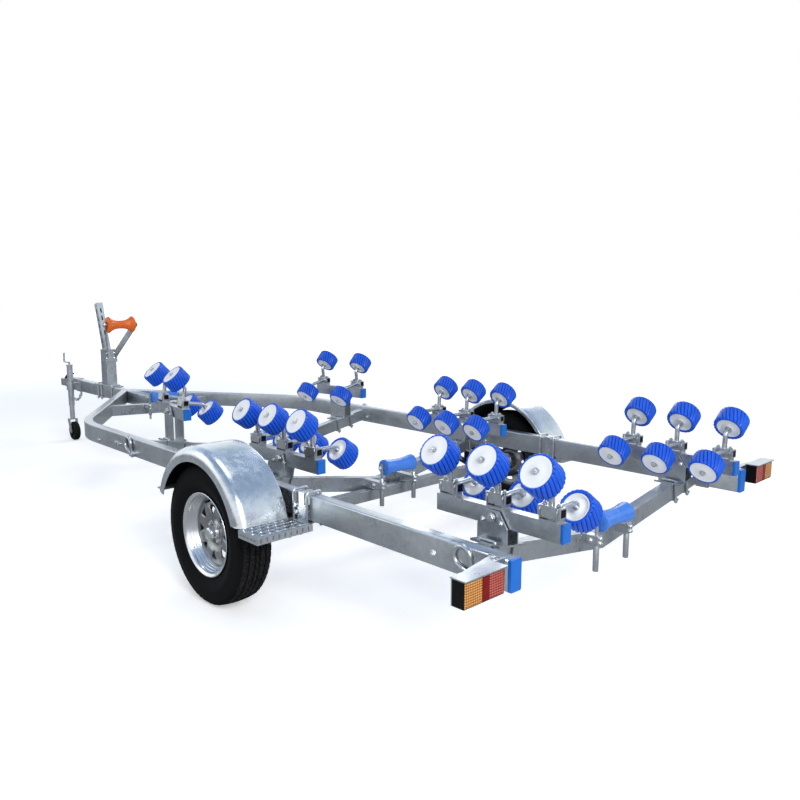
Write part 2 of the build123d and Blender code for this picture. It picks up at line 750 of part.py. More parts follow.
saddle_reach = rocker_tube_length / 2 + 1.5 + saddle_gauge / 2
for name, (member, left, drop, pairs, toe, swing, lean) in cradles.items():
    pitch = pair_pitch if pairs == 3 else front_pair_pitch
    stations = [pitch * (index - (pairs - 1) / 2) for index in range(pairs)]
    half_beam = pitch * (pairs - 1) / 2 + beam_overhang
    place = Location(spot(members[member][0] + lean, left, rail_top + drop), (0, 0, -toe))
    rocker_places = [Location((station, 0, rocker_height), (swing, 0, 0)) for station in stations]

    with BuildPart() as cradle:
        with BuildSketch(Plane.YZ.offset(-half_beam)):
            Rectangle(beam_width, beam_height)
            Rectangle(beam_width - 2 * beam_wall, beam_height - 2 * beam_wall, mode=Mode.SUBTRACT)
        extrude(amount=2 * half_beam)
        with BuildSketch(Plane.XZ):
            Circle(pivot_pin_radius + run_gap)
        extrude(amount=beam_width, both=True, mode=Mode.SUBTRACT)
        for station in stations:
            with BuildSketch(Plane.XY.offset(beam_height / 2)):
                with Locations((station, 0)):
                    Rectangle(2 * saddle_reach + saddle_gauge, beam_width)
            extrude(amount=saddle_gauge)
            for side in (-1, 1):
                with BuildSketch(Plane.YZ.offset(station + side * saddle_reach)):
                    with Locations((0, (beam_height / 2 + rocker_height) / 2)):
                        Rectangle(beam_width, rocker_height - beam_height / 2)
                    with Locations((0, rocker_height)):
                        Circle(beam_width / 2)
                extrude(amount=saddle_gauge / 2, both=True)
            with BuildSketch(Plane.YZ.offset(station)):
                with Locations((0, rocker_height)):
                    Circle(rocker_pin_radius)
            extrude(amount=saddle_reach + 9, both=True)
        with Locations(rocker_places):
            add(rocker.part)
    save_pair(upright(cradle.part, place), f"cradle_{name}")

    with BuildPart() as rollers:
        for rocker_place in rocker_places:
            for side in (-1, 1):
                centre = pair_point(side * half_pair)
                end_on = Plane(
                    origin=(0, *centre), x_dir=(1, 0, 0), z_dir=(0, side * along[0], side * along[1])
                )
                with Locations(rocker_place * end_on.location):
                    add(wobble_roller.part)
        with BuildSketch(Plane.YZ.offset(-half_beam)):
            RectangleRounded(beam_width, beam_height, 4)
        extrude(amount=-cap_gauge)
        with BuildSketch(Plane.YZ.offset(-half_beam)):
            Rectangle(beam_width - 2 * beam_wall - 2 * seat_gap, beam_height - 2 * beam_wall - 2 * seat_gap)
        extrude(amount=15)
    save_pair(upright(rollers.part, place), f"cradle_rollers_{name}")

cheek_middle = beam_width / 2 + beam_side_gap + post_cheek / 2
with BuildPart() as cradle_posts:
    for name, (member, left, drop, pairs, toe, swing, lean) in cradles.items():
        ahead = members[member][0]
        turn = radians(toe)
        forward = (cos(turn), -sin(turn), 0)
        outward = (sin(turn), cos(turn), 0)
        middle = Plane(
            origin=spot(ahead + lean, left, rail_top + drop), x_dir=forward, z_dir=(-outward[0], -outward[1], 0)
        )
        fall = rail_top + drop - member_top(member, left) + 30
        for side in (-1, 1):
            with BuildSketch(middle.offset(side * cheek_middle)):
                with BuildLine():
                    Polyline(
                        (-post_length / 2 - lean, -fall),
                        (-post_length / 2 - lean / 2, -beam_height / 2),
                        (-26, 23),
                        (26, 23),
                        (post_length / 2 - lean / 2, -beam_height / 2),
                        (post_length / 2 - lean, -fall),
                        close=True,
                    )
                make_face()
            extrude(amount=post_cheek / 2, both=True)
        with BuildSketch(Plane.YZ.offset(axle_x + ahead)):
            with BuildLine():
                Polyline(
                    (left - base_reach, member_top(member, left - base_reach)),
                    (left + base_reach, member_top(member, left + base_reach)),
                    (left + base_reach, member_top(member, left + base_reach) - 60),
                    (left - base_reach, member_top(member, left - base_reach) - 60),
                    close=True,
                )
            make_face()
        extrude(amount=post_length, both=True, mode=Mode.SUBTRACT)
        with BuildSketch(Plane.YZ.offset(axle_x + ahead)):
            with BuildLine():
                Polyline(
                    (left - base_reach, member_top(member, left - base_reach)),
                    (left + base_reach, member_top(member, left + base_reach)),
                    (left + base_reach, member_top(member, left + base_reach) + base_gauge),
                    (left - base_reach, member_top(member, left - base_reach) + base_gauge),
                    close=True,
                )
            make_face()
        extrude(amount=post_length / 2, both=True)
        with BuildSketch(middle):
            Circle(pivot_pin_radius)
        extrude(amount=cheek_middle + 14, both=True)
        for side in (-1, 1):
            bolt_left = left + side * (base_reach - 14)
            bolt_up = member_top(member, bolt_left)
            bolt_slope = degrees(atan2(member_top(member, bolt_left + 1) - bolt_up, 1))
            with Locations(Location(spot(ahead, bolt_left, bolt_up), (bolt_slope, 0, 0))):
                add(clamp(member_width, member_height, base_gauge))
save(both_sides(cradle_posts.part), "cradle_posts")

# ---- winch post and bow roller -----------------------------------------------------------------
clamp_reach = drawbar_width / 2 + clamp_wire + 1
with BuildPart() as winch_post:
    with BuildSketch(Plane.XY.offset(rail_top)):
        with Locations((axle_x + post_ahead + 15, 0)):
            Rectangle(post_base_length, post_width + 20)
        for ahead in post_clamp_places:
            with Locations((axle_x + ahead, clamp_reach), (axle_x + ahead, -clamp_reach)):
                Circle(clamp_wire + seat_gap, mode=Mode.SUBTRACT)
    extrude(amount=base_gauge)
    with BuildSketch(Plane.XY.offset(rail_top)):
        with Locations((axle_x + post_ahead, 0)):
            Rectangle(post_depth, post_width)
            Rectangle(post_depth - 8, post_width - 8, mode=Mode.SUBTRACT)
    extrude(amount=post_top)
    mast_plane = Plane(
        origin=spot(post_ahead - 8, 0, rail_top + post_top - 110),
        x_dir=(0, 1, 0),
        z_dir=(sin(radians(mast_lean)), 0, cos(radians(mast_lean))),
    )
    with BuildSketch(mast_plane):
        Rectangle(mast_side, mast_side)
        Rectangle(mast_side - 6, mast_side - 6, mode=Mode.SUBTRACT)
    extrude(amount=(mast_top - post_top + 110) / cos(radians(mast_lean)))
    with BuildSketch(Plane.XY.offset(rail_top + post_top - 4)):
        with Locations((axle_x + post_ahead, 0)):
            Rectangle(post_depth, post_width)
    extrude(amount=4)
    with BuildSketch(mast_plane):
        Rectangle(mast_side - 6, mast_side - 6)
    extrude(amount=(mast_top - post_top + 110) / cos(radians(mast_lean)), mode=Mode.SUBTRACT)
save(winch_post.part, "winch_post")

with BuildPart() as post_clamps:
    for ahead in post_clamp_places:
        with Locations(Location(spot(ahead, 0, rail_top), (0, 0, 90))):
            add(clamp(drawbar_width, rail_height + seat_gap, base_gauge + seat_gap))
save(post_clamps.part, "post_clamps")

bow_ahead = post_ahead - bow_behind
bow_up = rail_top + bow_over
arm_foot = spot(post_ahead - post_depth / 2 - 5, post_width / 2 - 14, rail_top + post_top - 52)
arm_tip = spot(bow_ahead, bow_length / 2 + 10, bow_up)
arm_run = Vector(*arm_tip) - Vector(*arm_foot)
with BuildPart() as bow_bracket:
    with BuildSketch(Plane.YZ.offset(axle_x + post_ahead - post_depth / 2)):
        with Locations((0, rail_top + post_top - 60)):
            Rectangle(post_width + 16, 84)
    extrude(amount=-8)
    for side in (-1, 1):
        foot = Vector(arm_foot[0], side * arm_foot[1], arm_foot[2])
        run = Vector(arm_run.X, side * arm_run.Y, arm_run.Z)
        face = run.cross(Vector(0, 0, 1)).cross(run)
        with BuildSketch(Plane(origin=foot, x_dir=run, z_dir=run.cross(face))):
            with Locations((run.length / 2, 0)):
                Rectangle(run.length, 46)
            with Locations((run.length, 0)):
                Circle(23)
        extrude(amount=4, both=True)
    with BuildSketch(Plane.YZ.offset(axle_x + post_ahead - post_depth / 2)):
        with Locations((0, rail_top + post_top)):
            Rectangle(2 * post_width, 2 * post_top)
    extrude(amount=post_depth, mode=Mode.SUBTRACT)
    with BuildSketch(Plane.XZ.offset(-bow_length / 2 - 18)):
        with Locations((axle_x + bow_ahead, bow_up)):
            Circle(bow_pin_radius)
    extrude(amount=bow_length + 36)
    with BuildSketch(Plane.XZ.offset(-bow_length / 2 - 1)):
        with Locations((axle_x + bow_ahead, bow_up)):
            Circle(bow_radius + 5)
            Circle(bow_pin_radius, mode=Mode.SUBTRACT)
    extrude(amount=bow_length + 2, mode=Mode.SUBTRACT)
save(bow_bracket.part, "bow_roller_bracket")

with BuildPart() as bow_roller:
    with BuildSketch(Plane.YZ.offset(axle_x + bow_ahead)):
        with BuildLine():
            Polyline(
                (-bow_length / 2 + 14, bow_up + bow_radius),
                (-bow_length / 2, bow_up + bow_radius - 14),
                (-bow_length / 2, bow_up + bow_pin_radius + run_gap),
                (bow_length / 2, bow_up + bow_pin_radius + run_gap),
                (bow_length / 2, bow_up + bow_radius - 14),
                (bow_length / 2 - 14, bow_up + bow_radius),
            )
            ThreePointArc(
                (bow_length / 2 - 14, bow_up + bow_radius),
                (0, bow_up + bow_waist_radius),
                (-bow_length / 2 + 14, bow_up + bow_radius),
            )
        make_face()
    revolve(axis=Axis(spot(bow_ahead, 0, bow_up), (0, 1, 0)))
save(bow_roller.part, "bow_roller")

# ---- coupler, latch and safety chain ---------------------------------------------------------------
coupler_half = drawbar_width / 2 + coupler_wall
coupler_inner = drawbar_width / 2 - coupler_wall
with BuildPart() as coupler:
    with BuildSketch(Plane.XY.offset(rail_top + coupler_wall)):
        with BuildLine():
            Polyline(
                (axle_x + drawbar_front - 120, coupler_half),
                (axle_x + drawbar_front + 20, coupler_half),
                (axle_x + ball_ahead - 30, coupler_nose_radius),
                (axle_x + ball_ahead, coupler_nose_radius),
                (axle_x + ball_ahead, -coupler_nose_radius),
                (axle_x + ball_ahead - 30, -coupler_nose_radius),
                (axle_x + drawbar_front + 20, -coupler_half),
                (axle_x + drawbar_front - 120, -coupler_half),
                close=True,
            )
        make_face()
        with Locations((axle_x + ball_ahead, 0)):
            Circle(coupler_nose_radius)
    extrude(amount=socket_mouth - rail_top - coupler_wall)
    with BuildSketch(Plane.XZ.offset(-60)):
        with BuildLine():
            Polyline(
                (axle_x + drawbar_front + 30, rail_top + coupler_wall),
                (axle_x + ball_ahead - 60, rail_top - 18),
                (axle_x + ball_ahead + 60, rail_top - 18),
                (axle_x + ball_ahead + 60, rail_top + 40),
                (axle_x + drawbar_front + 30, rail_top + 40),
                close=True,
            )
        make_face()
    extrude(amount=120, mode=Mode.SUBTRACT)
    with BuildSketch(Plane.YZ.offset(axle_x + drawbar_front - 121)):
        with Locations((0, rail_top - rail_height / 2)):
            Rectangle(drawbar_width, rail_height)
    extrude(amount=121, mode=Mode.SUBTRACT)
    with BuildSketch(Plane.YZ.offset(axle_x + drawbar_front)):
        with Locations((0, rail_top - rail_height / 2 - 14)):
            Rectangle(2 * coupler_inner, rail_height)
    extrude(amount=ball_ahead - drawbar_front - 48, mode=Mode.SUBTRACT)
    with BuildSketch(Plane.XY.offset(socket_mouth)):
        with Locations((axle_x + ball_ahead, 0)):
            Circle(ball_radius)
    extrude(amount=ball_depth, mode=Mode.SUBTRACT)
save(coupler.part, "coupler")

with BuildPart() as latch:
    with BuildSketch(Plane.XZ):
        with BuildLine():
            Polyline(
                (axle_x + ball_ahead - 52, rail_top - 18),
                (axle_x + ball_ahead - 12, rail_top - 18),
                (axle_x + ball_ahead - 18, rail_top + 14),
                (axle_x + ball_ahead - 130, rail_top + 38),
                (axle_x + ball_ahead - 190, rail_top + 38),
                (axle_x + ball_ahead - 190, rail_top + 26),
                (axle_x + ball_ahead - 130, rail_top + 24),
                (axle_x + ball_ahead - 52, rail_top + 2),
                close=True,
            )
        make_face()
    extrude(amount=14, both=True)
save(latch.part, "coupler_latch")

link_straight = chain_link_length - chain_link_width
link_bend = chain_link_width / 2 - chain_wire
with BuildPart() as chain_link:
    for side in (-1, 1):
        with BuildSketch(Plane.YZ.offset(-link_straight / 2)):
            with Locations((0, side * link_bend)):
                Circle(chain_wire)
        extrude(amount=link_straight)
        with BuildSketch(Plane.YZ.offset(side * link_straight / 2)):
            with Locations((0, link_bend)):
                Circle(chain_wire)
        revolve(axis=Axis((side * link_straight / 2, 0, 0), (0, side, 0)), revolution_arc=180)

# the chain hangs in a bow from a pin across the coupler back to an eye under the drawbar
link_inner = chain_link_length / 2 - 2 * chain_wire
chain_pitch = 2 * link_inner - chain_slack
pin_reach = link_inner - chain_pin_radius - chain_slack / 2 - chain_pitch / 2
chain_turn = (chain_steep_front + chain_steep_rear) / chain_count
with BuildPart() as chain:
    with BuildSketch(Plane.XZ.offset(-coupler_inner)):
        with Locations((axle_x + ball_ahead - chain_pin_behind, socket_mouth + chain_pin_radius + 2)):
            Circle(chain_pin_radius)
    extrude(amount=2 * coupler_inner)
    slope = -chain_steep_front + chain_turn / 2
    ahead = ball_ahead - chain_pin_behind - pin_reach * cos(slope)
    up = socket_mouth + chain_pin_radius + 2 + pin_reach * sin(slope)
    for index in range(chain_count):
        slope = -chain_steep_front + chain_turn * (index + 0.5)
        with Locations(
            Location(
                Plane(
                    origin=spot(ahead - chain_pitch / 2 * cos(slope), 0, up + chain_pitch / 2 * sin(slope)),
                    x_dir=(-cos(slope), 0, sin(slope)),
                    z_dir=(sin(slope), 0, cos(slope)) if index % 2 else (0, 1, 0),
                )
            )
        ):
            add(chain_link.part)
        ahead -= chain_pitch * cos(slope)
        up += chain_pitch * sin(slope)
    eye_reach = link_inner - chain_eye_room - chain_pitch / 2
    eye_ahead = ahead - eye_reach * cos(slope)
    eye_bend = rail_top - rail_height - up - eye_reach * sin(slope)
    with BuildSketch(Plane.XY.offset(rail_top - rail_height)):
        with Locations((axle_x + eye_ahead + eye_bend, 0)):
            Circle(chain_wire)
    revolve(axis=Axis(spot(eye_ahead, 0, rail_top - rail_height), (0, 1, 0)), revolution_arc=180)
save(chain.part, "safety_chain")

# ---- jockey wheel: a clamped tube, a sliding leg, a castoring fork and its wheel ----------------------
jockey_x = axle_x + jockey_ahead
clamp_up = rail_mid
with BuildPart() as jockey_clamp:
    with BuildSketch(Plane.XY.offset(clamp_up - jockey_clamp_height / 2)):
        with Locations((jockey_x, jockey_left)):
            Circle(jockey_tube_radius + 9)
        with Locations((jockey_x, (drawbar_width / 2 + jockey_left) / 2)):
            Rectangle(44, jockey_left - drawbar_width / 2)
        with Locations((jockey_x, jockey_left)):
            Circle(jockey_tube_radius + seat_gap, mode=Mode.SUBTRACT)
    extrude(amount=jockey_clamp_height)
    with BuildSketch(Plane.XZ.offset(-drawbar_width / 2)):
        with Locations((jockey_x, rail_mid)):
            Rectangle(90, rail_height)
    extrude(amount=-8)
    with BuildSketch(Plane.YZ.offset(jockey_x + jockey_tube_radius + 6)):
        with Locations((jockey_left, clamp_up)):
            Circle(7)
    extrude(amount=34)
save(jockey_clamp.part, "jockey_clamp")

with BuildPart() as jockey_tube:
    with BuildSketch(Plane.XY.offset(jockey_tube_bottom)):
        with Locations((jockey_x, jockey_left)):
            Circle(jockey_tube_radius)
            Circle(jockey_leg_radius + run_gap, mode=Mode.SUBTRACT)
    extrude(amount=jockey_tube_top - jockey_tube_bottom - 12)
    with BuildSketch(Plane.XY.offset(jockey_tube_top - 12)):
        with Locations((jockey_x, jockey_left)):
            Circle(jockey_tube_radius + 3)
    extrude(amount=12)
    with BuildSketch(Plane.XY.offset(jockey_tube_top)):
        with Locations((jockey_x, jockey_left)):
            Circle(9)
    extrude(amount=26)
    with BuildSketch(Plane.YZ.offset(jockey_x)):
        with Locations((jockey_left, jockey_tube_top + 18)):
            Circle(7)
    extrude(amount=120)
    with BuildSketch(Plane.XY.offset(jockey_tube_top + 18)):
        with Locations((jockey_x + 114, jockey_left)):
            Circle(9)
    extrude(amount=80)
save(jockey_tube.part, "jockey_tube")

fork_top = 2 * jockey_wheel_radius + 26
leg_bottom = fork_top + 1.0
leg_top = jockey_tube_top - 12 - jockey_rise - 8
with BuildPart() as jockey_leg:
    with BuildSketch(Plane.XY.offset(leg_bottom)):
        with Locations((jockey_x, jockey_left)):
            Circle(jockey_leg_radius)
    extrude(amount=leg_top - leg_bottom)
    with BuildSketch(Plane.XY.offset(leg_bottom)):
        with Locations((jockey_x, jockey_left)):
            Circle(jockey_pin_radius + run_gap)
    extrude(amount=62, mode=Mode.SUBTRACT)
save(jockey_leg.part, "jockey_leg")

fork_side = jockey_wheel_width / 2 + 5
with BuildPart() as jockey_fork:
    with BuildSketch(Plane.XY.offset(fork_top - 8)):
        with Locations((jockey_x, jockey_left)):
            RectangleRounded(56, 2 * fork_side + 12, 8)
    extrude(amount=8)
    with BuildSketch(Plane.XY.offset(fork_top)):
        with Locations((jockey_x, jockey_left)):
            Circle(jockey_pin_radius)
    extrude(amount=60)
    for side in (-1, 1):
        with BuildSketch(Plane.XZ.offset(-jockey_left - side * (fork_side + 3))):
            with BuildLine():
                Polyline(
                    (jockey_x - 28, fork_top - 8),
                    (jockey_x + 28, fork_top - 8),
                    (jockey_x - jockey_trail + 17, jockey_wheel_radius - 8),
                    (jockey_x - jockey_trail - 17, jockey_wheel_radius - 8),
                    close=True,
                )
            make_face()
            with Locations((jockey_x - jockey_trail, jockey_wheel_radius)):
                Circle(18)
        extrude(amount=3, both=True)
    with BuildSketch(Plane.XZ.offset(-jockey_left)):
        with Locations((jockey_x - jockey_trail, jockey_wheel_radius)):
            Circle(jockey_pin_radius)
    extrude(amount=fork_side + 14, both=True)
save(jockey_fork.part, "jockey_fork")

with BuildPart() as jockey_wheel:
    with BuildSketch(Plane.YZ.offset(jockey_x - jockey_trail)):
        with BuildLine():
            Polyline(
                (jockey_left - jockey_wheel_width / 2, jockey_wheel_radius + jockey_pin_radius + run_gap),
                (jockey_left + jockey_wheel_width / 2, jockey_wheel_radius + jockey_pin_radius + run_gap),
                (jockey_left + jockey_wheel_width / 2, jockey_wheel_radius + 22),
                (jockey_left + 12, jockey_wheel_radius + 26),
                (jockey_left + 12, jockey_wheel_radius + 52),
                (jockey_left + jockey_wheel_width / 2, jockey_wheel_radius + 56),
                (jockey_left + jockey_wheel_width / 2, 2 * jockey_wheel_radius - 8),
                (jockey_left + jockey_wheel_width / 2 - 10, 2 * jockey_wheel_radius),
                (jockey_left - jockey_wheel_width / 2 + 10, 2 * jockey_wheel_radius),
                (jockey_left - jockey_wheel_width / 2, 2 * jockey_wheel_radius - 8),
                (jockey_left - jockey_wheel_width / 2, jockey_wheel_radius + 56),
                (jockey_left - 12, jockey_wheel_radius + 52),
                (jockey_left - 12, jockey_wheel_radius + 26),
                (jockey_left - jockey_wheel_width / 2, jockey_wheel_radius + 22),
                close=True,
            )
        make_face()
    revolve(axis=Axis((jockey_x - jockey_trail, 0, jockey_wheel_radius), (0, 1, 0)))
save(jockey_wheel.part, "jockey_wheel")
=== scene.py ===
"""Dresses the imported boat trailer: finishes, rollers, tyres, wheels, lamps, fasteners and the stage."""

import json
from math import atan2, cos, pi, radians, sin, tan, tau

import bmesh
import bpy
from mathutils import Matrix, Vector


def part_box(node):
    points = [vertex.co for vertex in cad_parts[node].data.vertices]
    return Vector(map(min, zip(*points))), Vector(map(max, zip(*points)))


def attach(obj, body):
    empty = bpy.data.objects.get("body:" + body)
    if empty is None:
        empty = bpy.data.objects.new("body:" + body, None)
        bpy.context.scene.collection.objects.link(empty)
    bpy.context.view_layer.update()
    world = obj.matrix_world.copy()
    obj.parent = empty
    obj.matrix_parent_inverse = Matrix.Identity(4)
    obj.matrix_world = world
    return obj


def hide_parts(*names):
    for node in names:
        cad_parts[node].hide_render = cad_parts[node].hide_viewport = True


bl_info = {
    "name": "Boat trailer dressing",
    "version": (1, 0, 0),
    "blender": (4, 5, 0),
    "location": "3D View > Sidebar > Trailer",
    "description": "Finishes and fine pieces of a single-axle boat trailer",
    "category": "Object",
}

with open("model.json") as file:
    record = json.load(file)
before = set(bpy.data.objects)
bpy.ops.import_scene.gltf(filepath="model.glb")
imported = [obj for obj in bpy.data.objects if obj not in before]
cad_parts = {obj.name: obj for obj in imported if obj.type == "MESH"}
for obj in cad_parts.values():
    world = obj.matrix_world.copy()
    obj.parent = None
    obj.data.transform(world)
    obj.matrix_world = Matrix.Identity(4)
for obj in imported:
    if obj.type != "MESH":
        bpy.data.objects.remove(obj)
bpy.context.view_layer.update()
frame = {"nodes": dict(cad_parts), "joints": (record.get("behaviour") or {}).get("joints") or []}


# ---- shader maths -------------------------------------------------------------------------------------
class Value:
    """A number or colour that varies over a surface. Sums with it add Math nodes."""

    def __init__(self, maker, socket):
        self.maker = maker
        self.socket = socket

    def math(self, operation, *others):
        return self.maker.node("ShaderNodeMath", {"operation": operation}, [self, *others])

    def __add__(self, other):
        return self.math("ADD", other)

    def __sub__(self, other):
        return self.math("SUBTRACT", other)

    def __mul__(self, other):
        return self.math("MULTIPLY", other)

    def __radd__(self, other):
        return self + other

    def __rmul__(self, other):
        return self * other

    def __rsub__(self, other):
        return self.maker.node("ShaderNodeMath", {"operation": "SUBTRACT"}, [other, self])

    def above(self, edge, soft):
        """0 below the edge and 1 above it, over a soft step."""
        return self.maker.node(
            "ShaderNodeMapRange",
            {"interpolation_type": "SMOOTHSTEP"},
            {"Value": self, "From Min": edge - soft, "From Max": edge + soft},
        )


class Nodes:
    """A node tree in the making."""

    def __init__(self, tree):
        self.tree = tree
        tree.nodes.clear()

    def node(self, kind, settings=(), inputs=(), output=0):
        """Adds a node, with its settings first and then the values or links of its sockets."""
        made = self.tree.nodes.new(kind)
        for key, setting in dict(settings).items():
            if key == "stops":
                self.set_stops(made.color_ramp.elements, setting)
            else:
                setattr(made, key, setting)
        pairs = inputs.items() if isinstance(inputs, dict) else enumerate(inputs)
        for key, given in pairs:
            if isinstance(given, Value):
                self.tree.links.new(given.socket, made.inputs[key])
            else:
                made.inputs[key].default_value = given
        return Value(self, made.outputs[output])

    @staticmethod
    def set_stops(elements, stops):
        while len(elements) < len(stops):
            elements.new(1.0)
        for element, (place, colour) in zip(list(elements), stops):
            element.position = place
            element.color = (*colour, 1)

    def close(self, kind, shader):
        """Adds the tree's output node behind its last shader."""
        output = self.tree.nodes.new(kind)
        self.tree.links.new(shader.socket, output.inputs[0])

    def place(self):
        """Position on the trailer, in metres."""
        return self.node("ShaderNodeTexCoord", output="Object")

    def axis(self, letter):
        return self.node("ShaderNodeSeparateXYZ", inputs=[self.place()], output=letter)

    def stretched(self, scale):
        """The same position, scaled by axis."""
        return self.node("ShaderNodeMapping", inputs={"Vector": self.place(), "Scale": scale})

    def noise(self, scale, detail=3.0, rough=0.55, vector=None, distortion=0.0):
        inputs = {"Vector": vector or self.place(), "Scale": scale, "Detail": detail}
        inputs.update({"Roughness": rough, "Distortion": distortion})
        return self.node("ShaderNodeTexNoise", inputs=inputs)

    def cells(self, scale, feature="F1", output="Distance"):
        inputs = {"Vector": self.place(), "Scale": scale}
        return self.node("ShaderNodeTexVoronoi", {"feature": feature}, inputs, output)

    def grey(self, colour):
        """One channel of a random colour, as a random number."""
        return self.node("ShaderNodeSeparateColor", inputs=[colour])

    def blend(self, share, low, high):
        """A colour between two, by a share."""
        low = (*low, 1) if isinstance(low, tuple) else low
        high = (*high, 1) if isinstance(high, tuple) else high
        return self.node("ShaderNodeMix", {"data_type": "RGBA"}, {0: share, 6: low, 7: high}, output=2)

    def bump(self, height, distance, strength):
        inputs = {"Height": height, "Distance": distance, "Strength": strength}
        return self.node("ShaderNodeBump", inputs=inputs)


class Finish(Nodes):
    """A material in the making."""

    made = {}

    def __init__(self, name):
        self.material = bpy.data.materials.new(name)
        self.material.use_nodes = True
        super().__init__(self.material.node_tree)
        Finish.made[name] = self.material

    def surface(self, **sockets):
        """The closing shader, with its sockets given by name."""
        inputs = {name.replace("_", " "): given for name, given in sockets.items()}
        self.close("ShaderNodeOutputMaterial", self.node("ShaderNodeBsdfPrincipled", inputs=inputs))


# ---- finishes -----------------------------------------------------------------------------------------
def darker(colour, share):
    return tuple(channel * share for channel in colour)


def zinc(name, tone, shine, spangle, depth=1.0):
    """Hot-dipped zinc: crystals a few millimetres across, cloudy patches and faint runs."""
    f = Finish(name)
    crystal = f.grey(f.cells(spangle, output="Color"))
    fine = f.grey(f.cells(spangle * 2.6, output="Color"))
    cloud = f.noise(5.5, detail=4, rough=0.6, distortion=0.6)
    runs = f.noise(9.0, rough=0.6, vector=f.stretched((1.0, 1.0, 0.18)))
    spots = f.noise(60.0, detail=2, rough=0.7)
    shade = crystal * 0.20 + fine * 0.08 + cloud * 0.70 + runs * 0.50 + spots * 0.04
    light = tuple(min(0.93, channel * 1.20) for channel in tone)
    ripple = f.noise(22.0, rough=0.5) * 0.7 + f.noise(170.0, detail=2, rough=0.5) * 0.08 + crystal * 0.05
    f.surface(
        Base_Color=f.blend((shade - 0.45) * 1.15, darker(tone, 0.74), light),
        Metallic=0.92,
        Roughness=crystal * 0.07 + cloud * 0.14 + (shine - 0.10),
        Normal=f.bump(ripple, distance=0.0016 * depth, strength=0.8),
    )


def plastic(name, colour, deep, rough=0.35, glow=0.0, gloss=0.35):
    """Moulded plastic with a fine skin, slight colour drift and scuffs."""
    f = Finish(name)
    drift = f.noise(14.0, rough=0.6)
    scuff = f.noise(75.0, detail=4, rough=0.7, distortion=1.2).above(0.62, soft=0.08)
    rubbed = tuple(channel * 0.7 + max(colour) * 0.25 for channel in colour)
    f.surface(
        Base_Color=f.blend(scuff * 0.10, f.blend(drift, deep, colour), rubbed),
        Roughness=scuff * 0.2 + drift * 0.12 + (rough - 0.06),
        Normal=f.bump(f.noise(900.0, detail=2, rough=0.5), distance=0.00012, strength=0.6),
        Specular_IOR_Level=gloss,
        Subsurface_Weight=glow,
        Subsurface_Scale=0.01,
    )


def rubber(name, tone=0.0018, rough=0.7, sipes=0.0):
    """Black rubber with a dusty bloom, cut by fine sipes where they are asked for, the cuts darkened with
    painted shade.
    """
    f = Finish(name)
    bloom = f.noise(11.0, detail=4, rough=0.65, distortion=0.4)
    dust = f.noise(120.0, rough=0.6)
    shade = f.blend(bloom * 0.7 + dust * 0.3, (tone * 0.55,) * 3, (tone * 2.6, tone * 2.6, tone * 2.7))
    relief = f.noise(420.0, detail=2, rough=0.6) * 0.1
    if sipes:
        cut = f.cells(sipes, feature="DISTANCE_TO_EDGE").above(0.10, soft=0.06)
        # the sipes' cuts are coloured near black: painted shade in the cuts, beside their bump
        shade = f.blend(cut, (0.002, 0.002, 0.002), shade)
        relief = relief + cut
    f.surface(
        Base_Color=shade,
        Specular_IOR_Level=0.14,
        Roughness=bloom * 0.2 + (rough - 0.1),
        Normal=f.bump(relief, distance=0.0020, strength=0.5),
    )


def lens(name, colour, deep, pitch, relief):
    """Coloured lens moulded in small prisms, each prism painted lighter in its middle and darker at its
    edges as painted highlight and shade.
    """
    f = Finish(name)
    waves = [(f.axis(letter) * (tau / pitch)).math("SINE") for letter in "YZ"]
    facets = (waves[0] * waves[1]).math("ABSOLUTE")
    drift = f.noise(30.0, detail=2)
    f.surface(
        # colour follows the prisms' relief: painted highlight in each prism's middle, painted shade at its
        # edges
        Base_Color=f.blend(facets * 1.5 + drift * 0.3 - 0.25, deep, colour),
        Roughness=drift * 0.1 + 0.10,
        Normal=f.bump(facets, distance=relief, strength=1.0),
        Specular_IOR_Level=0.12,
    )


def paint(nodes, finish):
    """Gives CAD nodes a finish through their material slots."""
    for name in nodes:
        for slot in frame["nodes"][name].material_slots:
            slot.material = Finish.made[finish]


# ---- outlines and places ------------------------------------------------------------------------------
def arc(middle, radius, start, end, steps):
    """Points of an arc in a plane, from one angle to another."""
    turns = [start + (end - start) * step / steps for step in range(steps + 1)]
    return [(middle[0] + radius * cos(turn), middle[1] + radius * sin(turn)) for turn in turns]


def rectangle(width, height):
    x, y = width / 2, height / 2
    return [(-x, -y), (x, -y), (x, y), (-x, y)]


def oblong(half_run, half_end, half_height, steps=20):
    """A slot's outline: two half ellipses joined by straight sides."""
    outline = []
    for x, y in arc((0, 0), 1.0, 0.0, tau, steps)[:-1]:
        outline.append((half_end * x + (half_run if x > 0 else -half_run), half_height * y))
    return outline


def spread(low, high, count):
    """Evenly spaced values, both ends among them."""
    return [low + (high - low) * index / (count - 1) for index in range(count)]


def both_ends(end, middle):
    """A profile with the same end on both sides of its middle. A point starts with its place along."""
    return [(-along, *rest) for along, *rest in end] + list(middle) + list(reversed(end))


def at(x, y, z):
    return Matrix.Translation((x, y, z))


def facing(origin, direction, roll=0.0):
    """A place whose Z runs along a direction."""
    turn = Vector(direction).to_track_quat("Z", "Y").to_matrix().to_4x4()
    return Matrix.Translation(origin) @ turn @ Matrix.Rotation(roll, 4, "Z")


def turned(profile, place, steps=40, radius_at=None, twist=0.0):
    """Rings of a profile's (along, radius) points turned about the place's Z.

    radius_at gives another radius for a step and a point. The twist is in radians a metre.
    """
    rings = []
    for point in profile:
        along, radius = point[:2]
        ring = []
        for step in range(steps):
            angle = tau * step / steps + twist * along
            reach = radius_at(step, *point) if radius_at else radius
            ring.append(place @ Vector((reach * cos(angle), reach * sin(angle), along)))
        rings.append(ring)
    return rings


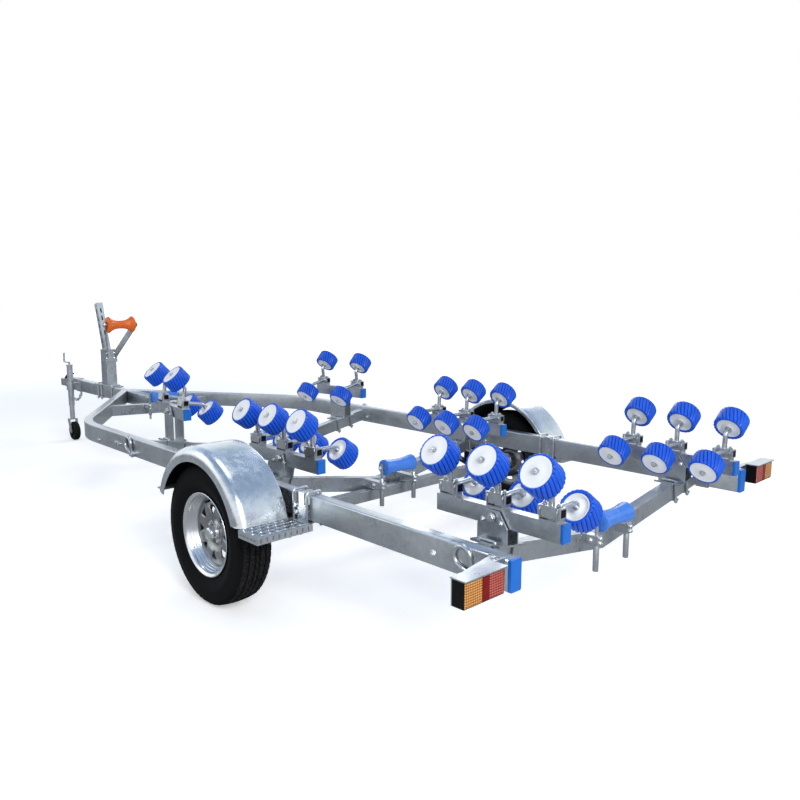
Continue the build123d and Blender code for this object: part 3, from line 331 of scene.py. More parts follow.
class Bench:
    """Gathers the faces of one piece, each with its finish."""

    def __init__(self):
        self.mesh = bmesh.new()
        self.finishes = []

    def slot(self, finish):
        if finish not in self.finishes:
            self.finishes.append(finish)
        return self.finishes.index(finish)

    def skin(self, rings, finish, closed=True, smooth=True):
        """Joins rings of points, each ring as long as the next."""
        made = [[self.mesh.verts.new(point) for point in ring] for ring in rings]
        index = self.slot(finish)
        span = len(rings[0]) if closed else len(rings[0]) - 1
        for ring, following in zip(made, made[1:]):
            for i in range(span):
                j = (i + 1) % len(ring)
                face = self.mesh.faces.new((ring[i], ring[j], following[j], following[i]))
                face.material_index = index
                face.smooth = smooth
        return made

    def solid(self, rings, finish, smooth=True):
        """Joins rings of points and closes both ends with flat faces."""
        made = self.skin(rings, finish, smooth=smooth)
        for ring in (list(reversed(made[0])), made[-1]):
            self.mesh.faces.new(ring).material_index = self.slot(finish)

    def recolour(self, verts, finish):
        """Gives a finish to the faces that lie wholly on these points."""
        verts = set(verts)
        index = self.slot(finish)
        for face in self.mesh.faces:
            if verts.issuperset(face.verts):
                face.material_index = index

    def lathe(self, profile, place, finish, steps=40, radius_at=None, smooth=True):
        """A turned profile, closed flat at both ends."""
        self.solid(turned(profile, place, steps, radius_at), finish, smooth)

    def prism(self, outline, depth, place, finish, bevel=0.0):
        """An outline in the place's XY, carried up its Z, with its edges eased."""
        ease = min(bevel, depth / 3)
        points = [Vector(point) for point in outline]
        middle = sum(points, Vector((0, 0))) / len(points)
        levels = [(0.0, points), (depth, points)]
        if ease:
            eased = []
            for point in points:
                out = point - middle
                eased.append(middle + out * max(0.2, 1 - ease / max(out.length, 1e-6)))
            levels = [(0.0, eased), (ease, points), (depth - ease, points), (depth, eased)]
        rings = [[place @ Vector((flat.x, flat.y, height)) for flat in level] for height, level in levels]
        self.solid(rings, finish, smooth=False)

    def block(self, size, place, finish, bevel=0.0008):
        width, depth, height = size
        self.prism(rectangle(width, depth), height, place @ at(0, 0, -height / 2), finish, bevel)

    def hexagon(self, across, height, place):
        reach = across / 2 / cos(pi / 6)
        outline = arc((0, 0), reach, 0.0, tau * 5 / 6, 5)
        self.prism(outline, height, place, "bright_zinc", 0.0009)

    def bolt(self, place, size, tail=0.0):
        """A hexagon head or nut on its washer, standing on the place's XY, with its bolt's end."""
        washer = size * 0.18
        profile = [(0, size * 1.12), (washer * 0.8, size * 1.12), (washer, size * 1.05)]
        self.lathe(profile, place, "bright_zinc", 24, smooth=False)
        self.hexagon(size * 1.65, size * 0.62, place @ at(0, 0, washer))
        if tail:
            top = washer + size * 0.62
            profile = [(top, size * 0.5), (top + tail - 0.001, size * 0.5), (top + tail, size * 0.4)]
            self.lathe(profile, place, "bright_zinc", 16)

    def rod(self, points, radius, finish, steps=12):
        """A round bar along points."""
        points = [Vector(point) for point in points]
        turns = [tau * step / steps for step in range(steps)]
        rings = []
        side = None
        for i, point in enumerate(points):
            run = (points[min(i + 1, len(points) - 1)] - points[max(i - 1, 0)]).normalized()
            side = run.orthogonal() if side is None else side - run * side.dot(run)
            side.normalize()
            over = run.cross(side)
            rings.append([point + radius * (cos(turn) * side + sin(turn) * over) for turn in turns])
        self.solid(rings, finish)

    def tube(self, places, width, height, corner, finish):
        """An upright tube with rounded corners through places, each a middle and a direction across."""
        x, y = width / 2 - corner, height / 2 - corner
        outline = []
        for turn, middle in enumerate(((x, y), (-x, y), (-x, -y), (x, -y))):
            outline += arc(middle, corner, pi / 2 * turn, pi / 2 * (turn + 1), 4)
        rings = [
            [Vector(middle) + Vector(across) * flat + Vector((0, 0, rise)) for flat, rise in outline]
            for middle, across in places
        ]
        self.solid(rings, finish)

    def copy(self, other, place, mirrored=False):
        """Adds another bench's faces at a place."""
        table = {vert: self.mesh.verts.new(place @ vert.co) for vert in other.mesh.verts}
        for face in other.mesh.faces:
            corners = [table[vert] for vert in face.verts]
            made = self.mesh.faces.new(reversed(corners) if mirrored else corners)
            made.material_index = self.slot(other.finishes[face.material_index])
            made.smooth = face.smooth

    def deliver(self, name, body, slot, *replaced):
        """Turns the faces into a piece that rides on a body and may replace CAD nodes."""
        data = bpy.data.meshes.new(name)
        self.mesh.normal_update()
        self.mesh.to_mesh(data)
        for finish in self.finishes:
            data.materials.append(Finish.made[finish])
        piece = bpy.data.objects.new(name, data)
        bpy.context.scene.collection.objects.link(piece)
        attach(piece, body)
        if replaced:
            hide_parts(*replaced)


# ---- where things sit, in metres ----------------------------------------------------------------------
SIDES = {"left": 1, "right": -1}
JOINTS = {joint["child"]: joint for joint in frame["joints"]}
# the axle along X, from which whatever is called ahead is measured, and a wheel's middle
AXLE, WHEEL_LEFT, WHEEL_UP = JOINTS["wheel_left"]["pos_m"]
RAIL_LOW, RAIL_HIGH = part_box("rail_left")
DRAWBAR_LOW, DRAWBAR_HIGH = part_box("drawbar")
RAIL_TOP, RAIL_HEIGHT, RAIL_WIDTH = RAIL_HIGH.z, RAIL_HIGH.z - RAIL_LOW.z, 0.050
RAIL_LEFT = RAIL_HIGH.y - RAIL_WIDTH / 2
RAIL_FACE = RAIL_HIGH.y + 0.0005    # seat of what is bolted to a rail's outer side
STEP_INNER = 0.8305

# a rocker arm tilts its pair of rollers: the line through them, and the way down from it
TILT = radians(35.0)
PAIR_RUN = Vector((0, cos(TILT), sin(TILT)))
PAIR_DROP = Vector((0, sin(TILT), -cos(TILT)))
HALF_PAIR, PAIR_SHIFT, PAIR_LIFT = 0.1325, 0.018, 0.064
ROCKER_HEIGHT = 0.060               # a rocker's pivot above its cradle's
# by roller pairs on a cradle: half its beam's length, and from rocker to rocker
BEAM_HALF = {3: 0.258, 2: 0.198}
PITCH = {3: 0.210, 2: 0.300}
# cradle: its roller pairs, and the swing of its rocker arms in degrees
CRADLES = {"rear": (3, 0.0), "middle": (3, 0.0), "front": (2, 12.0)}
# cross-member, each with a keel roller: ahead of the axle, and where the slope of its top is at the
# middle and at the reach of the long members, which the short front one doesn't get to
MEMBERS = {
    "rear": (-1.200, 0.375, 0.490),
    "middle": (0.075, 0.350, 0.485),
    "second": (1.100, 0.354, 0.501),
    "front": (2.480, 0.470, 0.504),
}
MEMBER_REACH = 0.776                # half a long member, from rail to rail


def pivot(body):
    """(ahead, left, up) of a moving body's pivot, from the frame."""
    x, left, up = JOINTS[body]["pos_m"]
    return x - AXLE, left, up


def spot(ahead, left, up):
    return Vector((AXLE + ahead, left, up))


def upright(ahead, left, up):
    """A place whose Z points up."""
    return Matrix.Translation(spot(ahead, left, up))


def outward(ahead, left, up, sign):
    """A place on one side of the trailer, its Z away from the middle."""
    return facing(spot(ahead, sign * left, up), (0, sign, 0))


def rearward(ahead, left, up, roll=0.0):
    """A place whose Z points backwards."""
    return facing(spot(ahead, left, up), (-1, 0, 0), roll)


def pair_spot(reach):
    """Middle of a roller, from its rocker's pivot."""
    return (reach - PAIR_SHIFT) * PAIR_RUN - PAIR_LIFT * PAIR_DROP


def stations(pairs):
    """Where a cradle's rocker arms sit along its beam."""
    return [PITCH[pairs] * (index - (pairs - 1) / 2) for index in range(pairs)]


def member_top(name, left):
    """Height of a cross-member's top at a distance from the middle."""
    ahead, middle, end = MEMBERS[name]
    return middle + (end - middle) * abs(left) / MEMBER_REACH


def cradle_places():
    """(name, roller pairs, swing, own space, whether that is mirrored) of each cradle."""
    mirror = Matrix.Scale(-1, 4, (0, 1, 0))
    for name, (pairs, swing) in CRADLES.items():
        body = f"cradle_{name}_left"
        along, across, _ = JOINTS[body]["axis"]
        place = upright(*pivot(body)) @ Matrix.Rotation(-atan2(along, across), 4, "Z")
        yield f"{name}_left", pairs, swing, place, False
        yield f"{name}_right", pairs, swing, mirror @ place, True


# ---- sizes and colours a user would change ------------------------------------------------------------
class ZincLook(bpy.types.PropertyGroup):
    tone: bpy.props.FloatVectorProperty(
        name="Zinc colour", description="Middle tone of the hot-dipped zinc", subtype="COLOR",
        default=(0.50, 0.53, 0.555), min=0, max=1,
    )
    shine: bpy.props.FloatProperty(
        name="Roughness", description="Middle roughness of the zinc", default=0.31, min=0.05, max=1
    )
    spangle: bpy.props.FloatProperty(
        name="Crystals per metre", description="How fine the zinc crystals are", default=85.0, min=5
    )


class RollerLook(bpy.types.PropertyGroup):
    blue: bpy.props.FloatVectorProperty(
        name="Roller colour", description="Polyurethane of the wobble rollers", subtype="COLOR",
        default=(0.003, 0.115, 0.78), min=0, max=1,
    )
    keel_blue: bpy.props.FloatVectorProperty(
        name="Keel roller colour", description="Polyurethane of the keel rollers", subtype="COLOR",
        default=(0.07, 0.26, 0.86), min=0, max=1,
    )
    orange: bpy.props.FloatVectorProperty(
        name="Bow roller colour", description="Polyurethane of the bow roller", subtype="COLOR",
        default=(0.90, 0.17, 0.012), min=0, max=1,
    )
    ribs: bpy.props.IntProperty(name="Ribs", description="Cross ribs round a roller", default=24, min=8)
    rib_depth: bpy.props.FloatProperty(
        name="Rib depth", description="Depth of the grooves between ribs", default=0.0042, unit="LENGTH"
    )


class TyreLook(bpy.types.PropertyGroup):
    blocks: bpy.props.IntProperty(
        name="Tread blocks", description="Blocks round the tread", default=60, min=12
    )
    groove: bpy.props.FloatProperty(
        name="Groove depth", description="Depth of the tread grooves", default=0.007, unit="LENGTH"
    )


class StageLook(bpy.types.PropertyGroup):
    floor: bpy.props.FloatVectorProperty(
        name="Floor colour", description="Plain pale floor", subtype="COLOR",
        default=(0.90, 0.90, 0.90), min=0, max=1,
    )
    lens: bpy.props.FloatProperty(name="Lens", description="Camera lens", default=33.88, unit="CAMERA")


# ---- finishes of the solids ---------------------------------------------------------------------------
CAD_FINISHES = {
    "hot_dip_zinc": (
        "axle", "bow_roller_bracket", "coupler", "cradle_posts", "cross_members", "drawbar", "jockey_clamp",
        "jockey_fork", "jockey_leg", "jockey_tube", "keel_brackets", "lamp_brackets", "mudguard_stays",
        "rail_left", "rail_right", "winch_post",
        *(f"cradle_{name}_{side}" for name in CRADLES for side in SIDES),
    ),
    "sheet_zinc": ("mudguard_left", "mudguard_right", "tie_down_loops", "step_plates"),
    "wheel_zinc": ("rim_left", "rim_right"),
    "bright_zinc": ("safety_chain", "post_clamps"),
    "black_rubber": ("tyre_left", "tyre_right", "jockey_wheel"),
    "black_moulding": ("coupler_latch", "lamp_housings"),
    "spring_paint": ("leaf_springs", "spring_hangers"),
}


class ZincFinish(bpy.types.Operator):
    """Coats the frame and the cradles with zinc, and the springs with dark paint"""

    bl_idname = "trailer.zinc_finish"
    bl_label = "Zinc finish"

    def execute(self, context):
        look = context.scene.zinc_look
        tone = tuple(look.tone)
        sheet = tuple(min(0.9, channel * 1.22) for channel in tone)
        zinc("hot_dip_zinc", tone, look.shine, look.spangle)
        zinc("sheet_zinc", sheet, look.shine - 0.07, spangle=48.0, depth=0.6)
        zinc("bright_zinc", (0.66, 0.67, 0.68), 0.28, spangle=300.0, depth=0.3)
        zinc("wheel_zinc", (0.74, 0.76, 0.78), 0.22, spangle=300.0, depth=0.25)
        # a darker copy of the wheel zinc: painted shade on the wheel discs and hubs and in the steps' edge
        # slots
        zinc("disc_zinc", (0.34, 0.35, 0.36), 0.34, spangle=300.0, depth=0.25)
        rubber("black_rubber")
        # black moulded plastic, also used as painted shade in the slots' openings and the tubes' mouths
        plastic("black_moulding", (0.005, 0.005, 0.005), (0.003, 0.003, 0.003), 0.42, gloss=0.12)
        # the springs' dark paint, also used as painted shade on the rims' inboard barrels
        plastic("spring_paint", (0.010, 0.010, 0.011), (0.004, 0.004, 0.004), 0.30)
        for finish, nodes in CAD_FINISHES.items():
            paint(nodes, finish)
        return {"FINISHED"}


# ---- rollers ------------------------------------------------------------------------------------------
def wobble_roller(look):
    """One ribbed roller on its hub, its axis along Z and its bolt's end up."""
    half, radius = 0.038, 0.064
    rib_edge = 0.060                # ribs are cut where the roller is thicker than this
    per_rib, slant = 5, 0.22        # steps from rib to rib, and their lean over half the width

    def in_groove(step, reach):
        return reach > rib_edge and step % per_rib < 2

    def ribbed(step, along, reach):
        return reach - (look.rib_depth if in_groove(step, reach) else 0.0)

    shoulder = [(half, 0.0580), (half - 0.0012, 0.0604), (half - 0.0040, 0.0627), (half - 0.0090, radius)]
    profile = [(-half + 0.0040, 0.0480), (-half, 0.0500)]
    profile += both_ends(shoulder, [(0.0, radius)])
    profile += [(half, 0.0548), (half - 0.0030, 0.0540)]
    bench = Bench()
    rings = turned(profile, Matrix.Identity(4), look.ribs * per_rib, ribbed, slant / half)
    made = bench.skin(rings + rings[:1], "roller_blue")
    grooves = [
        vert
        for ring, (along, reach) in zip(made, profile)
        for step, vert in enumerate(ring)
        if in_groove(step, reach)
    ]
    # the grooves between the ribs are coloured a darker blue: painted shade in the recesses
    bench.recolour(grooves, "groove_blue")
    outboard = [
        (half - 0.0045, 0.0538), (half - 0.0008, 0.0532), (half - 0.0002, 0.0510),
        (half - 0.0010, 0.0480), (half - 0.0018, 0.0230), (half - 0.0004, 0.0200),
    ]
    inboard = [
        (-half + 0.0090, 0.0485), (-half + 0.0015, 0.0478), (-half + 0.0015, 0.0440),
        (-half + 0.0060, 0.0410), (-half + 0.0060, 0.0190), (-half - 0.0020, 0.0165),
    ]
    for hub in (outboard, inboard):
        bench.lathe(hub, Matrix.Identity(4), "nylon_white")
    spacer = [(-half - 0.0055, 0.0175), (-half - 0.0022, 0.0175)]
    bench.lathe(spacer, Matrix.Identity(4), "bright_zinc", 24, smooth=False)
    bench.bolt(at(0, 0, half - 0.0004), 0.0115, tail=0.003)
    return bench


class WobbleRollers(bpy.types.Operator):
    """Makes the ribbed rollers and their nylon hubs, and the blue end caps"""

    bl_idname = "trailer.wobble_rollers"
    bl_label = "Wobble rollers"

    def execute(self, context):
        look = context.scene.roller_look
        blue = tuple(look.blue)
        plastic("roller_blue", blue, darker(blue, 0.62), 0.34, glow=0.05)
        # a darker blue of the same polyurethane, painted shade for the grooves between the ribs
        plastic("groove_blue", (0.001, 0.019, 0.34), (0.001, 0.012, 0.24), 0.5, gloss=0.1)
        plastic("nylon_white", (0.90, 0.91, 0.92), (0.78, 0.80, 0.82), 0.45)
        plastic("cap_blue", (0.004, 0.16, 0.62), (0.003, 0.11, 0.48), 0.4)
        paint(["rail_end_caps"], "cap_blue")
        roller = wobble_roller(look)
        for name, pairs, swing, place, mirrored in cradle_places():
            bench = Bench()
            for station in stations(pairs):
                rocker = place @ at(station, 0, ROCKER_HEIGHT) @ Matrix.Rotation(radians(swing), 4, "X")
                for end in (-1, 1):
                    # each roller is turned a little further than the last, so their ribs don't line up
                    seat = facing(pair_spot(end * HALF_PAIR), PAIR_RUN * end, station * 9 + end)
                    bench.copy(roller, rocker @ seat, mirrored)
            cap = Bench()
            beam_end = facing((-BEAM_HALF[pairs] - 0.0001, 0, 0), (-1, 0, 0))
            cap.prism(rectangle(0.040, 0.060), 0.012, beam_end, "cap_blue", 0.003)
            bench.copy(cap, place, mirrored)
            bench.deliver(f"rollers_{name}", f"cradle_{name}", "blue_roller", f"cradle_rollers_{name}")
        return {"FINISHED"}


def keel_profile():
    """A waisted keel roller with fine ridges round it."""
    end = [(0.0935, 0.0082), (0.0950, 0.0120), (0.0950, 0.0360), (0.0925, 0.0395)]
    waist = []
    for step, share in enumerate(spread(-1.0, 1.0, 15)):
        ridge = 0.0006 if step % 2 else -0.0006
        waist.append((share * 0.0875, 0.0310 + 0.0088 * share ** 2 + ridge))
    return both_ends(end, waist)


def bow_profile():
    """The bow roller: a deep waist between two flared ends."""
    end = [
        (0.1085, 0.0092), (0.1100, 0.0140), (0.1100, 0.0460),
        (0.1060, 0.0540), (0.0990, 0.0620), (0.0940, 0.0635),
    ]
    waist = [(share * 0.0900, 0.0315 + 0.0310 * abs(share) ** 2.6) for share in spread(-1.0, 1.0, 25)]
    return both_ends(end, waist)


def lobed(step, along, radius):
    """Shallow flutes over the bow roller's flared ends, two steps wide in every eight."""
    waist, depth = 0.036, 0.0050
    if radius < waist or abs(along) > 0.1045 or step % 8 > 1:
        return radius
    return radius - depth * min(1.0, (radius - waist) / 0.014)


class KeelRollers(bpy.types.Operator):
    """Makes the waisted keel rollers and the bow roller"""

    bl_idname = "trailer.keel_rollers"
    bl_label = "Keel and bow rollers"

    def execute(self, context):
        look = context.scene.roller_look
        keel_blue, orange = tuple(look.keel_blue), tuple(look.orange)
        plastic("keel_blue", keel_blue, darker(keel_blue, 0.6), 0.22, glow=0.25)
        plastic("bow_orange", orange, darker(orange, 0.72), 0.3, glow=0.1)
        for name in MEMBERS:
            roller = f"keel_roller_{name}"
            bench = Bench()
            bench.lathe(keel_profile(), outward(*pivot(roller), 1), "keel_blue", 48)
            bench.deliver(f"keel_roller_skin_{name}", roller, "keel_roller_blue", roller)
        bench = Bench()
        bench.lathe(bow_profile(), outward(*pivot("bow_roller"), 1), "bow_orange", 96, lobed)
        bench.deliver("bow_roller_skin", "bow_roller", "orange_roller", "bow_roller")
        return {"FINISHED"}


# ---- wheels -------------------------------------------------------------------------------------------
BLOCK_STEPS = 5                     # steps round the tyre to each tread block
# sidewall from the bead to the shoulder: across from the tyre's middle, radius
SIDEWALL = (
    (0.0545, 0.1655), (0.0600, 0.1700), (0.0605, 0.1810), (0.0650, 0.1870), (0.0700, 0.1980),
    (0.0716, 0.1988), (0.0722, 0.2020), (0.0722, 0.2045), (0.0765, 0.2080), (0.0800, 0.2200),
    (0.0818, 0.2270), (0.0825, 0.2285), (0.0825, 0.2390), (0.0819, 0.2405), (0.0800, 0.2560),
    (0.0780, 0.2640), (0.0772, 0.2700), (0.0735, 0.2790), (0.0700, 0.2850),
)
# ribs of the tread: across from one edge to the other
TREAD_RIBS = (
    (-0.0620, -0.0400), (-0.0340, -0.0130), (-0.0065, 0.0065), (0.0130, 0.0340), (0.0400, 0.0620),
)
TYRE_RADIUS = WHEEL_UP
# the rim's outboard face from its edge down to the disc, and its inboard face: outset, radius
RIM_OUTBOARD = (
    (0.0655, 0.1772), (0.0685, 0.1765), (0.0690, 0.1745), (0.0665, 0.1715),
    (0.0625, 0.1640), (0.0590, 0.1618), (0.0500, 0.1606), (0.0470, 0.1590),
    (0.0450, 0.1562), (0.0380, 0.1552), (0.0355, 0.1538), (0.0340, 0.1515),
    (0.0270, 0.1506), (0.0245, 0.1490), (0.0225, 0.1462), (0.0040, 0.1455),
)
RIM_INBOARD = (
    (0.0040, 0.1455), (-0.0180, 0.1440), (-0.0300, 0.1500), (-0.0340, 0.1606), (-0.0600, 0.1612),
    (-0.0660, 0.1745), (-0.0685, 0.1770),
)
WINDOWS = 8
WINDOW_MIDDLE = 0.0985              # a window's middle, from the hub's
DISC_INNER, DISC_OUTER, DISC_GAUGE = 0.0500, 0.1462, 0.0060
# outset of the disc's face from the tyre's middle plane, at a radius
DISC_FACE = (
    (0.050, 0.0130), (0.060, 0.0135), (0.070, 0.0200), (0.082, 0.0270),
    (0.104, 0.0275), (0.122, 0.0235), (0.136, 0.0140), (0.150, 0.0040),
)
# hub, its cap and a valve: along, radius
HUB = ((-0.0400, 0.0172), (-0.0400, 0.0500), (0.0070, 0.0515), (0.0130, 0.0505), (0.0135, 0.0172))
HUB_CAP = (
    (0.0002, 0.0330), (0.0060, 0.0325), (0.0070, 0.0285), (0.0200, 0.0285),
    (0.0300, 0.0280), (0.0355, 0.0255), (0.0385, 0.0190), (0.0395, 0.0080),
)
VALVE = (
    (-0.012, 0.0055), (0.004, 0.0050), (0.005, 0.0042), (0.020, 0.0042),
    (0.021, 0.0036), (0.030, 0.0036), (0.031, 0.0026),
)
NUT_CIRCLE = 0.0420


def tyre_profile(groove):
    """(across, radius, level) round a tyre's section. A level is wall, or deep or top in the tread."""
    wall = [(across, radius, "wall") for across, radius in SIDEWALL]
    curve = 1.35
    crown = []
    for low, high in TREAD_RIBS:
        edges = (low - 0.0002, low + 0.0005, high - 0.0005, high + 0.0002)
        for across, level in zip(edges, ("deep", "top", "top", "deep")):
            worn = 0.0004 if abs(across) > 0.05 else 0.0
            radius = TYRE_RADIUS - curve * across ** 2 - worn
            crown.append((across, radius - (groove if level == "deep" else 0.0), level))
    return both_ends(wall, crown)


def treaded(step, across, radius, level):
    """Radius of the tyre with the tread's cross cuts and the shoulder's notches."""
    cut = 0.0
    if level == "top" and (step + round(across * 60)) % BLOCK_STEPS == 0:
        cut = 0.0060 if abs(across) > 0.036 else 0.0040
    elif level == "wall" and radius > 0.270 and step % BLOCK_STEPS == 0:
        cut = 0.0030
    elif level == "wall" and 0.238 < radius < 0.258 and step % BLOCK_STEPS < 2:
        cut = 0.0006
    return radius - cut


class Tyres(bpy.types.Operator):
    """Makes the two road tyres with grooved treads and ringed sidewalls"""

    bl_idname = "trailer.tyres"
    bl_label = "Tyres"

    def execute(self, context):
        look = context.scene.tyre_look
        rubber("tread_rubber", 0.0020, 0.85)
        rubber("crown_rubber", 0.0130, 0.85, sipes=95.0)
        profile = tyre_profile(look.groove)
        for side, sign in SIDES.items():
            bench = Bench()
            place = outward(0, WHEEL_LEFT, WHEEL_UP, sign)
            rings = turned(profile, place, look.blocks * BLOCK_STEPS, treaded)
            made = bench.skin(rings + rings[:1], "tread_rubber")
            worn = [vert for ring, (*_, level) in zip(made, profile) if level == "top" for vert in ring]
            bench.recolour(worn, "crown_rubber")
            bench.deliver(f"road_tyre_{side}", f"wheel_{side}", "tyre_rubber", f"tyre_{side}")
        return {"FINISHED"}


def disc_height(radius):
    """Outset of the wheel disc's face at a radius, eased between the points of its table."""
    for (low, start), (high, end) in zip(DISC_FACE, DISC_FACE[1:]):
        if radius <= high:
            share = max(0.0, (radius - low) / (high - low))
            share = share * share * (3 - 2 * share)
            return start + (end - start) * share
    return DISC_FACE[-1][1]


def window_outline(count):
    """A window of the wheel disc: a triangle with rounded corners, its point towards the hub."""
    corners = [Vector((0.0265, 0.0190)), Vector((-0.0265, 0.0190)), Vector((0.0, -0.0250))]
    rounding = 0.0062
    outline = []
    for step in range(count):
        ray = Vector((cos(tau * step / count), sin(tau * step / count)))
        best = 1.0
        for first, second in zip(corners, corners[1:] + corners[:1]):
            edge = (second - first).normalized()
            normal = Vector((edge.y, -edge.x))
            normal = normal if normal.dot(first) > 0 else -normal
            if ray.dot(normal) > 1e-6:
                best = min(best, normal.dot(first) / ray.dot(normal))
        for corner in corners:
            inner = corner * (1 - 2 * rounding / corner.length)
            across = ray.x * inner.y - ray.y * inner.x
            if abs(across) < rounding and ray.dot(inner) > 0:
                best = min(best, ray.dot(inner) + (rounding ** 2 - across ** 2) ** 0.5)
        outline.append(ray * best)
    return outline


def sector_border(direction, start):
    """How far one window's share of the disc reaches from the window's middle."""
    wedge = tan(pi / WINDOWS)
    low, high = start, 0.2
    for _ in range(26):
        reach = (low + high) / 2
        point = Vector((direction.x * reach, WINDOW_MIDDLE + direction.y * reach))
        inside = DISC_INNER < point.length < DISC_OUTER and abs(point.x) < point.y * wedge
        low, high = (reach, high) if inside else (low, reach)
    return low


def disc_sector():
    """Rings of points round one window of the disc, from its edge out to its share's border."""
    shares = (0.0, 0.12, 0.4, 0.7, 1.0)
    rings = [[] for _ in shares]
    for edge in window_outline(48):
        direction = edge.normalized()
        border = sector_border(direction, edge.length)
        for ring, share in zip(rings, shares):
            reach = edge.length + (border - edge.length) * share
            point = Vector((direction.x * reach, WINDOW_MIDDLE + direction.y * reach))
            turned_in = 0.0025 if share == 0.0 else 0.0
            ring.append(Vector((*point, disc_height(point.length) - turned_in)))
    return rings


class Wheels(bpy.types.Operator):
    """Makes the stepped rims with their windowed discs, nuts, valves and hub caps, the discs and hubs in
    darker zinc and the inboard barrels in dark paint, both painted shade
    """

    bl_idname = "trailer.wheels"
    bl_label = "Wheels"

    def execute(self, context):
        sector = disc_sector()
        for side, sign in SIDES.items():
            bench = Bench()
            hub = outward(0, WHEEL_LEFT, WHEEL_UP, sign)
            bench.skin(turned(RIM_OUTBOARD, hub, 96), "wheel_zinc")
            # the zinc rim's inboard barrel, behind the disc, is given the springs' dark paint as painted
            # shade
            bench.skin(turned(RIM_INBOARD, hub, 96), "spring_paint")
            # the disc's sectors and the hub are given the darker zinc: painted shade
            for window in range(WINDOWS):
                place = hub @ Matrix.Rotation(tau * window / WINDOWS, 4, "Z")
                face = [[place @ point for point in ring] for ring in sector]
                back = [[place @ at(0, 0, -DISC_GAUGE) @ point for point in ring] for ring in sector]
                for rings in (face, back[::-1], [back[0], face[0]]):
                    bench.skin(rings, "disc_zinc")
            bench.skin(turned(HUB, hub, 48), "disc_zinc")
            cap = hub @ at(0, 0, 0.013)
            bench.lathe(HUB_CAP, cap, "bright_zinc")
            for x, y in arc((0, 0), NUT_CIRCLE, tau / 8, tau * 7 / 8, 3):
                bench.bolt(cap @ at(x, y, 0.0005), 0.012, tail=0.006)
            valve = hub @ at(0.0, 0.1425, 0.026) @ Matrix.Rotation(radians(14), 4, "X")
            bench.lathe(VALVE, valve, "black_rubber", 20)
            bench.deliver(f"wheel_{side}_dressed", f"wheel_{side}", "wheel_steel", f"rim_{side}")
        return {"FINISHED"}


# ---- frame --------------------------------------------------------------------------------------------
def rail_stations(sign):
    """(middle, across) places along a side rail: straight, round its bend and on to the drawbar."""
    rear, bend, drawbar_side = RAIL_LOW.x - AXLE, 1.830, DRAWBAR_HIGH.y + 0.0002
    turn, radius = radians(32.8), 0.620
    start = bend - radius * tan(turn / 2)
    level = RAIL_TOP - RAIL_HEIGHT / 2
    straight = spread(rear, start, 7)[:-1]
    places = [(spot(ahead, sign * RAIL_LEFT, level), (0, sign, 0)) for ahead in straight]
    for angle in spread(0.0, turn, 17):
        ahead, left = start + radius * sin(angle), RAIL_LEFT - radius * (1 - cos(angle))
        places.append((spot(ahead, sign * left, level), (sin(angle), sign * cos(angle), 0)))
    along = Vector((cos(turn), -sign * sin(turn), 0))
    across = Vector((sin(turn), sign * cos(turn), 0))
    tip = spot(bend, sign * RAIL_LEFT, level) + along * ((RAIL_LEFT - drawbar_side) / sin(turn))
    places.append((tip, across + along / tan(turn)))
    return places


class Rails(bpy.types.Operator):
    """Makes the rolled side rails with their long bends, and the drawbar"""

    bl_idname = "trailer.rails"
    bl_label = "Rails"

    def execute(self, context):
        corner = 0.006
        for side, sign in SIDES.items():
            bench = Bench()
            bench.tube(rail_stations(sign), RAIL_WIDTH, RAIL_HEIGHT, corner, "hot_dip_zinc")
            bench.deliver(f"rolled_rail_{side}", "chassis", "galvanised_steel", f"rail_{side}")
        level = RAIL_TOP - RAIL_HEIGHT / 2
        # it starts a hair ahead of the front member, so that their faces don't share a plane
        rear, front = DRAWBAR_LOW.x - AXLE + 0.0005, DRAWBAR_HIGH.x - AXLE
        places = [(spot(ahead, 0, level), (0, 1, 0)) for ahead in (rear, 3.0, 3.6, front)]
        bench = Bench()
        bench.tube(places, DRAWBAR_HIGH.y - DRAWBAR_LOW.y, RAIL_HEIGHT, corner, "hot_dip_zinc")
        bench.deliver("rolled_drawbar", "chassis", "galvanised_steel", "drawbar")
        return {"FINISHED"}


def mudguard_section():
    """(left, radius) across a mudguard's upper face, from its inner lip to its skirt."""
    low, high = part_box("mudguard_left")
    inner, outer, crown = low.y, high.y, 0.352
    lip, fold, shoulder, skirt = 0.022, 0.008, 0.042, 0.062
    return [
        (inner, crown - lip),
        *arc((inner + fold, crown - fold), fold, pi, pi / 2, 4),
        (inner + 0.060, crown),
        (inner + 0.120, crown),
        *arc((outer - shoulder, crown - shoulder), shoulder, pi / 2, 0.0, 10),
        (outer, crown - skirt + 0.004),
        (outer - 0.001, crown - skirt),
    ]


def set_in(section, gauge):
    """The same section, set in by a sheet's thickness."""
    thin = []
    for index, (left, radius) in enumerate(section):
        before, after = section[max(index - 1, 0)], section[min(index + 1, len(section) - 1)]
        run = (Vector(after) - Vector(before)).normalized()
        thin.append((left + run.y * gauge, radius - run.x * gauge))
    return thin


def arched(strip, angle, sign):
    """A strip of the mudguard's section at an angle round the wheel, never under the step."""
    ahead, up, lowest = -0.010, 0.320, 0.4102
    turn = radians(angle)
    return [
        spot(ahead + radius * sin(turn), sign * left, max(lowest, up + radius * cos(turn)))
        for left, radius in strip
    ]


